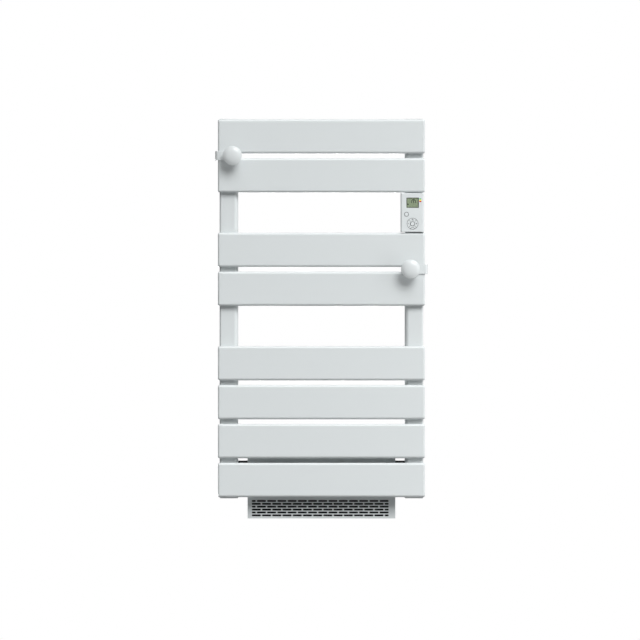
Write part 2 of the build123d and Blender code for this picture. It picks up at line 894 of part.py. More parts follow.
def motor_housing():
    """A closed can with a seat for a bush at each end, and the ring of the stator inside."""
    x0 = motor_left()
    x1 = motor_right()
    inner = motor_radius - motor_wall
    can = rod_x(motor_radius, x0, x1, fan_y, fan_z)
    can -= rod_x(inner, x0 + motor_wall, x1 - motor_wall, fan_y, fan_z)
    can -= rod_x(bush_radius + shaft_bore_clearance, x0 - 1, x1 + 1, fan_y, fan_z)
    middle = (x0 + x1) / 2
    ring = rod_x(inner, middle - stator_length / 2, middle + stator_length / 2, fan_y, fan_z)
    ring -= rod_x(rotor_radius + air_gap, middle - stator_length, middle + stator_length, fan_y, fan_z)
    return solids(can, ring)


def motor_spacers():
    x0 = chamber_right + side_plate
    offset = (motor_radius - motor_wall + bush_radius) / 2
    rings = []
    for side in (-1, 1):
        ring = rod_x(spacer_radius, x0, x0 + spacer_length, fan_y + side * offset, fan_z)
        rings.append(ring - rod_x(spacer_bore, x0 - 1, x0 + spacer_length + 1, fan_y + side * offset, fan_z))
    return solids(*rings)


# Heater


def heater_box():
    """The heater's place behind the slots: front, back, bottom and top."""
    front = blower_front_y + sheet + heater_from_cover
    bottom = scroll_floor() + scroll_thickness / 2 + heater_lift
    top = blower_bottom + slots_bottom_margin + (slot_rows - 1) * slot_row_pitch + slot_height - heater_lift
    return front, front + heater_depth, bottom, top


def heater_frame():
    front, back, bottom, top = heater_box()
    left = chamber_left + guide_clearance
    right = chamber_right - guide_clearance
    frame = block(left, right, front, back, bottom, top)
    return frame - block(left + heater_end, right - heater_end, front, back,
                         bottom + heater_rail, top - heater_rail)


def heater_bar(z):
    """A flat ceramic strip with a comb of fins above and below."""
    front, back, _, _ = heater_box()
    left = chamber_left + guide_clearance + heater_end
    right = chamber_right - guide_clearance - heater_end
    length = right - left
    count = int(length // fin_pitch)
    comb = Rectangle(length, bar_thickness)
    fin = Rectangle(fin_thickness, bar_thickness + 2 * fin_height)
    comb += [Pos((n - (count - 1) / 2) * fin_pitch, 0) * fin for n in range(count)]
    return facing(comb, (left + right) / 2, z, front + bar_inset, back - bar_inset)


def heater_bars():
    _, _, bottom, top = heater_box()
    step = (top - bottom - 2 * heater_rail) / bar_count
    return solids(*[heater_bar(bottom + heater_rail + (n + 0.5) * step) for n in range(bar_count)])


def thermal_cutout():
    """A button thermostat on the outside of the right fan plate, next to the heater."""
    _, back, bottom, top = heater_box()
    x = chamber_right + side_plate
    y = back + cutout_radius
    z = (bottom + top) / 2
    can = rod_x(cutout_radius, x, x + cutout_height, y, z)
    return can + rod_x(cutout_back_radius, x, x + cutout_height + cutout_back_height, y, z)


def terminal_block():
    left = blower_right - sheet - block_from_walls - block_length
    back = blower_back_y - sheet - block_from_walls
    floor = blower_bottom + sheet
    top = floor + block_height
    body = block(left, left + block_length, back - block_depth, back, floor, top)
    for n in range(block_ways):
        x = left + (n + 0.5) * block_length / block_ways
        body -= rod_z(block_hole_radius, x, back - block_depth / 2, top - block_height / 2, top + 1)
    return body


def cable_gland():
    """A gland in the right wall with its nut inside. The mains cable would come in through its bore."""
    nut_seat = blower_right - sheet
    nut_end = nut_seat - gland_nut_length
    thread_end = nut_end - gland_thread_end
    dome_start = blower_right + gland_flange_length
    dome_end = dome_start + gland_dome_length
    body = rod_x(gland_thread_radius, thread_end, blower_right, gland_y, gland_z)
    body += rod_x(gland_flange_radius, blower_right, dome_start, gland_y, gland_z)
    dome = rod_x(gland_dome_radius, dome_start, dome_end, gland_y, gland_z)
    body += fillet(dome.faces().sort_by(Axis.X)[-1].edges(), gland_dome_round)
    body -= rod_x(gland_bore_radius, thread_end - 1, dome_end + 1, gland_y, gland_z)
    nut = across(RegularPolygon(gland_nut_radius, 6), gland_y, gland_z, nut_end, nut_seat)
    nut -= rod_x(gland_thread_radius + thread_clearance, nut_end - 1, nut_seat + 1, gland_y, gland_z)
    return solids(body, nut)


# Control unit


def control_screw_heights():
    return [control_bottom + control_screw_from_end, control_top - control_screw_from_end]


def control_outline(inset, front_radius):
    return rounded_outline(control_width - 2 * inset, control_depth - control_case_depth - inset,
                           (front_radius, front_radius, 0, 0))


def control_cover():
    """The front shell, with holes for the window, the lights and the keys."""
    depth = control_depth - control_case_depth
    mid = control_front_y + depth / 2
    shell = upright(control_outline(0, control_side_radius), control_x, mid, control_bottom, control_top)
    for face in (shell.faces().sort_by(Axis.Z)[-1], shell.faces().sort_by(Axis.Z)[0]):
        height = face.center().Z
        rim = [
            edge for edge in shell.edges()
            if abs(edge.center().Z - height) < 0.001 and abs(edge.center().Y - control_seam_y) > 0.001
        ]
        shell = fillet(rim, control_end_radius)
    cavity = upright(control_outline(control_wall, control_side_radius - control_wall), control_x,
                     mid + control_wall / 2, control_bottom + control_wall, control_top - control_wall)
    shell -= cavity
    front = control_front_y - 1
    back = cover_inside_y + 1
    window = rounded_outline(window_width, window_height, [window_radius] * 4)
    shell -= facing(window, control_x + window_right, control_z + window_up, front, back)
    lights = Rectangle(light_width + 2 * lens_clearance, light_count * light_pitch + 2 * lens_clearance)
    shell -= facing(lights, control_x + light_right, control_z + light_up, front, back)
    shell -= rod_y(mode_radius + key_gap, mode_x, front, back, mode_z)
    return shell - rod_y(ring_radius + key_gap, ring_x, front, back, ring_z)


def control_case():
    """The rear shell on the collector, with posts that carry the circuit board."""
    outline = Rectangle(control_width, control_height)
    case = facing(outline, control_x, control_z, control_seam_y, control_back_y)
    inner = Rectangle(control_width - 2 * control_wall, control_height - 2 * control_wall)
    floor = control_back_y - control_wall
    case -= facing(inner, control_x, control_z, control_seam_y, floor)
    for side in (-1, 1):
        for end in (-1, 1):
            x = control_x + side * (control_width / 2 - post_inset)
            z = control_z + end * (control_height / 2 - post_inset)
            case += rod_y(post_radius, x, board_back_y, floor, z)
    wire_hole = branch_radius + board_wire_clearance
    case -= rod_y(wire_hole, collector_x, floor - 1, control_back_y + 1, control_z)
    for z in control_screw_heights():
        case -= rod_y(blower_screw_radius + fit_clearance, collector_x, floor - 1, control_back_y + 1, z)
    return case


def control_screws():
    seat = control_back_y - control_wall
    screws = []
    for z in control_screw_heights():
        head = rod_y(blower_screw_head_radius, collector_x, seat - blower_screw_head_height, seat, z)
        screws.append(head + rod_y(blower_screw_radius, collector_x, seat, seat + carrier_screw_length, z))
    return solids(*screws)


def display_lens():
    outline = rounded_outline(window_width - 2 * lens_clearance, window_height - 2 * lens_clearance,
                              [window_radius] * 4)
    front = control_front_y + lens_recess
    return facing(outline, control_x + window_right, control_z + window_up, front, front + lens_thickness)


def display_panel():
    outline = Rectangle(window_width + 2 * panel_rim, window_height + 2 * panel_rim)
    return facing(outline, control_x + window_right, control_z + window_up, cover_inside_y,
                  cover_inside_y + panel_thickness)


def status_lights():
    """Small light pipes, one above another, beside the window."""
    pipe = rounded_outline(light_width, light_height, [light_corner] * 4)
    x = control_x + light_right
    lowest = control_z + light_up - (light_count - 1) / 2 * light_pitch
    front = control_front_y - light_proud
    places = [lowest + n * light_pitch for n in range(light_count)]
    return solids(*[facing(pipe, x, z, front, cover_inside_y) for z in places])


def circuit_board():
    margin = control_wall + board_margin
    outline = Rectangle(control_width - 2 * margin, control_height - 2 * margin)
    return facing(outline, control_x, control_z, board_front_y, board_back_y)


def key_stem_places():
    """Where the keys' stems stand, in the order mode, OK, right, up, left, down."""
    middle = (ring_radius + ring_inner_radius) / 2
    ring = [
        (ring_x + middle * cos(radians(angle)), ring_z + middle * sin(radians(angle)))
        for angle in (0, 90, 180, 270)
    ]
    return [(mode_x, mode_z), (ring_x, ring_z)] + ring


def key_stem(x, z, y_front):
    return rod_y(key_stem_radius, x, y_front, switch_top_y - key_travel - key_to_switch, z)


def tactile_switches():
    outline = Rectangle(switch_size, switch_size)
    return solids(*[facing(outline, x, z, switch_top_y, board_front_y) for x, z in key_stem_places()])


def flange_front():
    return cover_inside_y + key_gap


def mode_button():
    flange_back = flange_front() + key_flange
    cap = rod_y(mode_radius, mode_x, key_front_y, flange_back, mode_z)
    cap = fillet(cap.faces().sort_by(Axis.Y)[0].edges(), key_edge_radius)
    cap += rod_y(mode_radius + key_flange_reach, mode_x, flange_front(), flange_back, mode_z)
    return cap + key_stem(mode_x, mode_z, flange_back)


def ok_flange_front():
    """The OK button's flange lies behind the ring keys, with room for their travel."""
    return flange_front() + key_flange + key_travel + key_gap


def ok_button():
    flange_back = ok_flange_front() + key_flange
    cap = rod_y(ok_radius, ring_x, control_front_y - ok_proud, flange_back, ring_z)
    cap = fillet(cap.faces().sort_by(Axis.Y)[0].edges(), key_edge_radius)
    cap += rod_y(ok_flange_radius, ring_x, ok_flange_front(), flange_back, ring_z)
    return cap + key_stem(ring_x, ring_z, flange_back)


def ring_key(angle):
    """A quarter of the ring about the given direction, with a flange under the cover's edge."""
    flange_back = flange_front() + key_flange
    cap = rod_y(ring_radius, ring_x, key_front_y, flange_back, ring_z)
    cap += rod_y(ring_radius + key_flange_reach, ring_x, flange_front(), flange_back, ring_z)
    cap -= rod_y(ring_inner_radius, ring_x, key_front_y - 1, flange_back + 1, ring_z)
    reach = 2 * ring_radius
    offset = ring_split / 2 / sin(radians(45))
    wedge = Polyline((offset, 0), (offset + reach, reach), (offset + reach, -reach), close=True)
    quarter = Rot(0, 0, angle) * make_face(wedge)
    cap = cap & facing(quarter, ring_x, ring_z, key_front_y, flange_back)
    middle = (ring_radius + ring_inner_radius) / 2
    x = ring_x + middle * cos(radians(angle))
    z = ring_z + middle * sin(radians(angle))
    return cap + key_stem(x, z, flange_back)


# Hooks


def hook_place(side):
    """The left hook sits in the first small gap, the right one in the second."""
    group = hook_gaps[0] if side < 0 else hook_gaps[1]
    upper = sum(slat_groups[:group])
    return side * (slat_width / 2 - knob_from_end), (slat_z[upper] + slat_z[upper + 1]) / 2


def strap_front_y():
    return slat_front_y - strap_clearance - strap_thickness


def hook_strap(side):
    """A band from the knob round the slat's end to the back of the collector, with a key in the gap."""
    x, z = hook_place(side)
    front = strap_front_y() + strap_thickness / 2
    back = collector_back_y + strap_clearance + strap_thickness / 2
    outer = slat_width / 2 + strap_side_gap + strap_thickness / 2
    path = FilletPolyline(
        (side * (outer - strap_front_reach), front), (side * outer, front),
        (side * outer, back), (side * (outer - strap_back_reach), back),
        radius=strap_bend_radius - strap_thickness / 2)
    band = upright(trace(path, strap_thickness), 0, 0, z - strap_height / 2, z + strap_height / 2)
    key_half = slat_gap / 2 - strap_clearance
    key_end = side * (slat_width / 2 - strap_key_start)
    key_start = side * (outer - strap_front_reach + strap_key_inset)
    band += block(key_start, key_end, slat_front_y - strap_clearance, slat_back_y - 2 * strap_clearance,
                  z - key_half, z + key_half)
    band -= rod_y(hook_screw_radius + fit_clearance, x, strap_front_y() - 1, slat_back_y, z)
    head_seat = slat_back_y - hook_screw_sink
    return band - rod_y(hook_screw_head_radius + 2 * fit_clearance, x, head_seat, slat_back_y, z)


def knob_back_y():
    return strap_front_y() - stem_length


def hook_knob(side):
    """A stem that widens into a round disc with a shallow dome."""
    x, z = hook_place(side)
    back = knob_back_y()
    rim_front = back - knob_rim
    stem = rod_y(stem_radius, x, back, strap_front_y(), z)
    disc = rod_y(knob_radius, x, rim_front, back, z)
    disc = fillet(disc.edges(), knob_rim_radius)
    base = knob_radius - knob_rim_radius
    sphere_radius = (base ** 2 + knob_dome ** 2) / (2 * knob_dome)
    ball = Pos(x, rim_front - knob_dome + sphere_radius, z) * Sphere(sphere_radius)
    dome = ball & rod_y(base, x, rim_front - knob_dome - 1, rim_front + 1, z)
    knob = stem + disc + dome
    tip = slat_back_y - hook_screw_sink - hook_screw_length
    return knob - rod_y(hook_screw_radius + shaft_bore_clearance, x, tip - 1, strap_front_y() + 1, z)


def hook_screw(side):
    x, z = hook_place(side)
    seat = slat_back_y - hook_screw_sink
    screw = rod_y(hook_screw_radius, x, seat - hook_screw_length, seat, z)
    screw += rod_y(hook_screw_head_radius, x, seat, seat + hook_screw_head_height, z)
    cross = Rectangle(hook_cross_length, hook_cross_width) + Rectangle(hook_cross_width, hook_cross_length)
    place = Plane((x, seat + hook_screw_head_height, z), z_dir=(0, -1, 0))
    return screw - extrude(place * cross, amount=hook_cross_depth)


def all_nodes():
    nodes = {f"slat_{n + 1}": slat(z) for n, z in enumerate(slat_z)}
    nodes["slat_end_caps"] = solids(*[slat_end(side, z) for z in slat_z for side in (-1, 1)])
    nodes["heating_mats"] = solids(*[heating_mat(z) for z in slat_z])
    nodes["collector_left"] = collector(-1)
    nodes["collector_right"] = collector(1)
    nodes["collector_end_caps"] = solids(*[collector_cap(side, end) for side in (-1, 1) for end in (-1, 1)])
    nodes["wire_grommets"] = solids(*[grommet(z) for z in slat_z])
    nodes["wiring_harness"] = wiring_harness()
    nodes["wall_bracket_bases"] = solids(*[wall_base(x, z) for x, z in bracket_places()])
    nodes["wall_bracket_stems"] = solids(*[bracket_stem(x, z) for x, z in bracket_places()])
    nodes["bracket_set_screws"] = solids(*[set_screw(x, z) for x, z in bracket_places()])
    nodes["bracket_fixing_screws"] = solids(*[fixing_screw(x, z) for x, z in bracket_places()])
    nodes["collector_weld_nuts"] = solids(*[welded_nut(x, z) for x, z in bracket_places()])
    nodes["blower_housing"] = blower_housing()
    nodes["blower_front_cover"] = blower_cover()
    nodes["blower_carriers"] = solids(carrier(-1), carrier(1))
    nodes["blower_screws"] = blower_screws()
    nodes["blower_lead"] = blower_lead()
    nodes["filter_frame"] = filter_frame()
    nodes["filter_mesh"] = filter_mesh()
    nodes["fan_side_plates"] = fan_side_plates()
    nodes["fan_scroll"] = fan_scroll()
    nodes["fan_tongue"] = fan_tongue()
    nodes["impeller"] = impeller()
    nodes["fan_shafts"] = fan_shafts()
    nodes["fan_bushes"] = fan_bushes()
    nodes["motor_housing"] = motor_housing()
    nodes["motor_spacers"] = motor_spacers()
    nodes["heater_frame"] = heater_frame()
    nodes["heater_bars"] = heater_bars()
    nodes["thermal_cutout"] = thermal_cutout()
    nodes["terminal_block"] = terminal_block()
    nodes["cable_gland"] = cable_gland()
    nodes["control_cover"] = control_cover()
    nodes["control_case"] = control_case()
    nodes["control_screws"] = control_screws()
    nodes["display_lens"] = display_lens()
    nodes["display_panel"] = display_panel()
    nodes["status_lights"] = status_lights()
    nodes["circuit_board"] = circuit_board()
    nodes["tactile_switches"] = tactile_switches()
    nodes["mode_button"] = mode_button()
    nodes["ok_button"] = ok_button()
    for name, angle in (("right", 0), ("up", 90), ("left", 180), ("down", 270)):
        nodes[f"key_{name}"] = ring_key(angle)
    for name, side in (("left", -1), ("right", 1)):
        nodes[f"hook_strap_{name}"] = hook_strap(side)
        nodes[f"hook_knob_{name}"] = hook_knob(side)
        nodes[f"hook_screw_{name}"] = hook_screw(side)
    return nodes


os.makedirs("parts", exist_ok=True)
for node, shape in all_nodes().items():
    export_step(shape, f"parts/{node}.step")
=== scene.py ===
import json
from math import cos, pi, radians, sin, sqrt, tan
import bmesh
import bpy
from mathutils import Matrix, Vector


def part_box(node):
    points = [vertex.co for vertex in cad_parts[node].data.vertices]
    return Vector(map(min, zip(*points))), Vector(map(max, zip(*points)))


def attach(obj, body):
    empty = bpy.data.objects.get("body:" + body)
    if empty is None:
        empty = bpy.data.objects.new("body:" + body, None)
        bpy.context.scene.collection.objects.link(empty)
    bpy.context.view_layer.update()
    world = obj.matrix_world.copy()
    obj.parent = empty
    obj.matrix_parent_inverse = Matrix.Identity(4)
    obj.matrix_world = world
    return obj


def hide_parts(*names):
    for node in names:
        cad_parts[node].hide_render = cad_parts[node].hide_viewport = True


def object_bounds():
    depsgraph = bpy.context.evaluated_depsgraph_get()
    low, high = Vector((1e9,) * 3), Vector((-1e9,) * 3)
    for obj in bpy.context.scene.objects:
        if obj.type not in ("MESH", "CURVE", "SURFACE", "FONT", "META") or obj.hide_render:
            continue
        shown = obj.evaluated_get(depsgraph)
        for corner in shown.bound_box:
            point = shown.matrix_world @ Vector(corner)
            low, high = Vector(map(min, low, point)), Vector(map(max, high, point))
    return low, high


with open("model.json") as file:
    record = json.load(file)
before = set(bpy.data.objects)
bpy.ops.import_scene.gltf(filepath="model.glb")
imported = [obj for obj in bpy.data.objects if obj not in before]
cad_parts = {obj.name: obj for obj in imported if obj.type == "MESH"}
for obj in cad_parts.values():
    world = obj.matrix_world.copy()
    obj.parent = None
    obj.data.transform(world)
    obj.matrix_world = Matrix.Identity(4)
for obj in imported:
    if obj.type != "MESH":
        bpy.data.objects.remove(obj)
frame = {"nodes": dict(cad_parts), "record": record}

cadLow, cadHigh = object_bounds()
scene = bpy.context.scene
nodes = frame["nodes"]
mm = 0.001


class Wire:  # one socket of a node tree, so that sums and products read as plain Python
    def __init__(self, graph, socket):
        self.graph = graph
        self.socket = socket

    def __getitem__(self, name):  # another output of the same node
        return Wire(self.graph, self.socket.node.outputs[name])

    def maths(self, operation, *values):
        return self.graph.add("ShaderNodeMath", {"operation": operation}, dict(enumerate(values)))

    def __add__(self, other):
        return self.maths("ADD", self, other)

    def __sub__(self, other):
        return self.maths("SUBTRACT", self, other)

    def __rsub__(self, other):
        return self.maths("SUBTRACT", other, self)

    def __mul__(self, other):
        return self.maths("MULTIPLY", self, other)

    def __truediv__(self, other):
        return self.maths("DIVIDE", self, other)

    def __gt__(self, other):
        return self.maths("GREATER_THAN", self, other)

    def __lt__(self, other):
        return self.maths("LESS_THAN", self, other)

    def __neg__(self):
        return self * -1

    __radd__ = __add__
    __rmul__ = __mul__

    def size(self):
        return self.maths("ABSOLUTE", self)

    def root(self):
        return self.maths("SQRT", self)

    def larger(self, other):
        return self.maths("MAXIMUM", self, other)


class Graph:  # builds one node tree; every node in it comes from add()
    def __init__(self, tree):
        self.tree = tree

    def add(self, kind, settings=None, inputs=None):
        node = self.tree.nodes.new(kind)
        for key, value in (settings or {}).items():
            setattr(node, key, value)
        self.feed(node, inputs or {})
        return Wire(self, next(s for s in node.outputs if s.enabled)) if node.outputs else node

    def feed(self, node, inputs):  # sockets by name or number; a list joins several wires to one socket
        sockets = [s for s in node.inputs if s.enabled]
        for key, value in inputs.items():
            socket = sockets[key] if isinstance(key, int) else next(s for s in sockets if s.name == key)
            for item in value if isinstance(value, list) else [value]:
                if isinstance(item, Wire):
                    self.tree.links.new(item.socket, socket)
                else:
                    socket.default_value = item

    def mix(self, factor, first, second):  # two colours
        return self.add("ShaderNodeMix", {"data_type": "RGBA"}, {"Factor": factor, "A": first, "B": second})

    def vector(self, operation, *values):
        return self.add("ShaderNodeVectorMath", {"operation": operation}, dict(enumerate(values)))

    def combine(self, x, y, z):
        return self.add("ShaderNodeCombineXYZ", None, {0: x, 1: y, 2: z})

    def split(self, value):
        return self.add("ShaderNodeSeparateXYZ", None, {0: value})

    def noise(self, place, scale, detail):
        return self.add("ShaderNodeTexNoise", None, {"Vector": place, "Scale": scale, "Detail": detail})

    def named(self, name, kind="FLOAT_VECTOR"):  # an attribute of the points
        return self.add("GeometryNodeInputNamedAttribute", {"data_type": kind}, {"Name": name})

    def rectangle(self, wide, tall):
        return self.add("GeometryNodeCurvePrimitiveQuadrilateral", {"mode": "RECTANGLE"},
                        {"Width": wide, "Height": tall})

    def merge(self, shape):
        return self.add("GeometryNodeMergeByDistance", None,
                        {"Geometry": shape, "Distance": treeValues["mergeWithin"]})


def emptyGraph(owner):  # a material's or a world's own node tree, cleared
    owner.use_nodes = True
    owner.node_tree.nodes.clear()
    return Graph(owner.node_tree)


# Geometry trees

treeValues = {"sharpAngle": 32, "bevelledSharpAngle": 48, "spinCore": 1 * mm, "mergeWithin": 0.002 * mm}


def newTree(name, inputs):  # inputs maps a label to its first value; the first socket is always the shape
    tree = bpy.data.node_groups.new(name, "GeometryNodeTree")
    tree.interface.new_socket("Geometry", in_out="INPUT", socket_type="NodeSocketGeometry")
    kinds = {float: "NodeSocketFloat", int: "NodeSocketInt"}
    for label, value in inputs.items():
        socket = tree.interface.new_socket(label, in_out="INPUT", socket_type=kinds[type(value)])
        socket.default_value = value
    tree.interface.new_socket("Material", in_out="INPUT", socket_type="NodeSocketMaterial")
    tree.interface.new_socket("Geometry", in_out="OUTPUT", socket_type="NodeSocketGeometry")
    graph = Graph(tree)
    return graph, graph.add("NodeGroupInput")


def finishTree(graph, start, shape, sharpAngle=treeValues["sharpAngle"]):
    # real copies, smooth faces with hard edges, and a material
    shape = graph.add("GeometryNodeRealizeInstances", None, {"Geometry": shape})
    hard = graph.add("GeometryNodeInputMeshEdgeAngle") > radians(sharpAngle)
    for domain, chosen, smooth in (("EDGE", True, True), ("FACE", True, True), ("EDGE", hard, False)):
        shape = graph.add("GeometryNodeSetShadeSmooth", {"domain": domain},
                          {0: shape, "Selection": chosen, "Shade Smooth": smooth})
    shape = graph.add("GeometryNodeSetMaterial", None, {"Geometry": shape, "Material": start["Material"]})
    graph.add("NodeGroupOutput", None, {"Geometry": shape})
    return graph.tree


def repeat(graph, start, shape):  # one copy on each loose point, turned as the point's attribute says
    neighbours = graph.add("GeometryNodeInputMeshVertexNeighbors")
    points = graph.add("GeometryNodeMeshToPoints", None,
                       {"Mesh": start["Geometry"], "Selection": neighbours < 0.5})
    rotation = graph.add("FunctionNodeEulerToRotation", None, {0: graph.named("turn")})
    return graph.add("GeometryNodeInstanceOnPoints", None,
                     {"Points": points, "Instance": shape, "Rotation": rotation})


def makeSweptTree():  # a rounded bar along a path, drawn in where the path says so
    # the corners A to D go round from the one at low X and low Y
    labels = {"Wide": 0.02, "Tall": 0.02, "Radius A": 0.002, "Radius B": 0.002, "Radius C": 0.002,
              "Radius D": 0.002, "Corner Steps": 6}
    graph, start = newTree("sweptBar", labels)
    rectangle = graph.rectangle(start["Wide"], start["Tall"])
    corner = graph.split(graph.add("GeometryNodeInputPosition"))
    right = corner["X"] > 0
    high = corner["Y"] > 0
    low = 1 - high
    left = 1 - right
    radius = (left * low * start["Radius A"] + right * low * start["Radius B"]
              + right * high * start["Radius C"] + left * high * start["Radius D"])
    profile = graph.add("GeometryNodeFilletCurve", {"mode": "POLY"},
                        {"Curve": rectangle, "Count": start["Corner Steps"], "Radius": radius})
    path = graph.add("GeometryNodeMeshToCurve", None, {"Mesh": start["Geometry"]})
    path = graph.add("GeometryNodeSetCurveNormal", {"mode": "Z_UP"}, {"Curve": path})
    path = graph.add("GeometryNodeStoreNamedAttribute", {"data_type": "FLOAT_VECTOR", "domain": "POINT"},
                     {"Geometry": path, "Name": "along", "Value": graph.add("GeometryNodeInputTangent")})
    bar = graph.add("GeometryNodeCurveToMesh", None,
                    {"Curve": path, "Profile Curve": profile, "Fill Caps": True})
    along = graph.named("along")
    normal = graph.add("GeometryNodeInputNormal")
    lengthwise = graph.vector("SCALE", along, graph.vector("DOT_PRODUCT", normal, along)["Value"])
    outward = graph.vector("NORMALIZE", graph.vector("SUBTRACT", normal, lengthwise))
    offset = graph.vector("SCALE", outward, -graph.named("inset", "FLOAT"))
    bar = graph.add("GeometryNodeSetPosition", None, {"Geometry": bar, "Offset": offset})
    return finishTree(graph, start, repeat(graph, start, bar))


def spin(graph, start):  # a profile of radius and height, given from the top down, spun about the Z axis
    core = treeValues["spinCore"]
    circle = graph.add("GeometryNodeCurvePrimitiveCircle", {"mode": "RADIUS"},
                       {"Resolution": start["Segments"], "Radius": core})
    circle = graph.add("GeometryNodeSetCurveNormal", {"mode": "Z_UP"}, {"Curve": circle})
    profile = graph.add("GeometryNodeMeshToCurve", None, {"Mesh": start["Geometry"]})
    spot = graph.split(graph.add("GeometryNodeInputPosition"))
    profile = graph.add("GeometryNodeSetPosition", None,
                        {"Geometry": profile, "Position": graph.combine(spot["X"] - core, -spot["Z"], 0)})
    spun = graph.add("GeometryNodeCurveToMesh", None, {"Curve": circle, "Profile Curve": profile})
    return graph.merge(spun)


def makeTurnedTree():  # a turned part, with shallow flutes between two radii
    graph, start = newTree("turnedPart", {"Segments": 48, "Flutes": 12, "Flute Depth": 0.0,
                                          "Flutes Beyond": 1.0, "Flutes Within": 1.0})
    spun = spin(graph, start)
    spot = graph.split(graph.add("GeometryNodeInputPosition"))
    reach = (spot["X"] * spot["X"] + spot["Y"] * spot["Y"]).root()
    angle = spot["Y"].maths("ARCTAN2", spot["Y"], spot["X"])
    wave = angle.maths("COSINE", angle * start["Flutes"]) * 0.5 + 0.5
    band = (reach > start["Flutes Beyond"]) * (reach < start["Flutes Within"])
    groove = wave * wave * start["Flute Depth"] * band
    outward = graph.vector("NORMALIZE", graph.combine(spot["X"], spot["Y"], 0))
    inward = graph.vector("SCALE", outward, -groove)
    spun = graph.add("GeometryNodeSetPosition", None, {"Geometry": spun, "Offset": inward})
    return finishTree(graph, start, repeat(graph, start, spun))


def makeScrewTree():  # a turned screw with a cross recess sunk in its head, whose top is at height 0
    graph, start = newTree("crossScrew", {"Segments": 32, "Recess Long": 4 * mm, "Recess Wide": 0.8 * mm,
                                          "Recess Deep": 1.5 * mm})
    spun = spin(graph, start)
    long, wide, deep = start["Recess Long"], start["Recess Wide"], start["Recess Deep"]
    bars = [graph.add("GeometryNodeMeshCube", None, {"Size": graph.combine(*sides)})
            for sides in ((long, wide, deep * 2), (wide, long, deep * 1.96))]  # no floors in one plane
    cut = graph.add("GeometryNodeMeshBoolean", {"operation": "DIFFERENCE"}, {"Mesh 1": spun, "Mesh 2": bars})
    return finishTree(graph, start, repeat(graph, start, cut))


def makeSlottedSheetTree():  # a flat plate with rows of long slots in brick bond, and a return frame behind
    graph, start = newTree("slottedSheet", {
        "Wide": 0.3, "Tall": 0.1, "Thickness": 1 * mm, "Left Margin": 10 * mm, "Bottom Margin": 5 * mm,
        "Slot Long": 20 * mm, "Slot High": 4 * mm, "Slot Bar": 2.5 * mm, "Row Pitch": 7 * mm, "Rows": 6,
        "Slots In Row": 13, "Return Inset": 1.4 * mm, "Return Depth": 13 * mm})
    pitch = start["Slot Long"] + start["Slot Bar"]
    shortLong = pitch * 0.5 - start["Slot Bar"]  # each row has one half slot, left and right by turns
    inRow = start["Slots In Row"]
    index = graph.add("GeometryNodeInputIndex")
    row = index.maths("FLOOR", (index + 0.5) / (inRow + 1))
    column = index - row * (inRow + 1)
    isShort = column < 0.5
    parity = row.maths("MODULO", start["Rows"] - row, 2)
    shortX = (1 - parity) * inRow * pitch + shortLong * 0.5
    fullX = parity * pitch * 0.5 + (column - 1) * pitch + start["Slot Long"] * 0.5
    x = start["Left Margin"] - start["Wide"] * 0.5 + isShort * shortX + (1 - isShort) * fullX
    y = start["Bottom Margin"] + start["Slot High"] * 0.5 - start["Tall"] * 0.5 + row * start["Row Pitch"]
    points = graph.add("GeometryNodePoints", None,
                       {"Count": start["Rows"] * (inRow + 1), "Position": graph.combine(x, y, 0)})
    outlines = []
    for long, chosen in ((shortLong, isShort), (start["Slot Long"], 1 - isShort)):
        outline = graph.add("GeometryNodeFilletCurve", {"mode": "POLY"},
                            {"Curve": graph.rectangle(long, start["Slot High"]), "Count": 5,
                             "Radius": start["Slot High"] * 0.498})  # just short of half, for four corners
        outlines.append(graph.add("GeometryNodeInstanceOnPoints", None,
                                  {"Points": points, "Selection": chosen, "Instance": outline}))

    def join(shapes):
        return graph.add("GeometryNodeJoinGeometry", None, {"Geometry": shapes})

    def slab(curves, low, high):  # the area between the curves, from one height to another
        flat = graph.add("GeometryNodeFillCurve", {"mode": "TRIANGLES"}, {"Curve": join(curves)})
        bottom = graph.add("GeometryNodeTransform", None,
                           {"Geometry": flat, "Translation": graph.combine(0, 0, low)})
        raised = graph.add("GeometryNodeExtrudeMesh", {"mode": "FACES"},
                           {"Mesh": bottom, "Offset": graph.combine(0, 0, 1), "Offset Scale": high - low,
                            "Individual": False})
        return graph.merge(join([raised, graph.add("GeometryNodeFlipFaces", None, {"Mesh": bottom})]))

    def outer(inset):
        return graph.rectangle(start["Wide"] - inset * 2, start["Tall"] - inset * 2)

    slots = graph.add("GeometryNodeRealizeInstances", None, {"Geometry": join(outlines)})
    plate = slab([outer(0), slots], 0, start["Thickness"])
    inset = start["Return Inset"]
    returns = slab([outer(inset), outer(inset + start["Thickness"])], -start["Return Depth"], 0)
    return finishTree(graph, start, repeat(graph, start, join([plate, returns])))


def makeEdgesTree():  # smooth faces and hard edges again, after a bevel
    graph, start = newTree("hardEdges", {})
    return finishTree(graph, start, start["Geometry"], treeValues["bevelledSharpAngle"])


def setInputs(modifier, values):
    for item in modifier.node_group.interface.items_tree:
        if item.in_out == "INPUT" and item.name in values:
            modifier[item.identifier] = values[item.name]


edgeValues = {"angle": 40, "segments": 2, "mergeWithin": 0.0015 * mm, "flatWithin": 0.4}


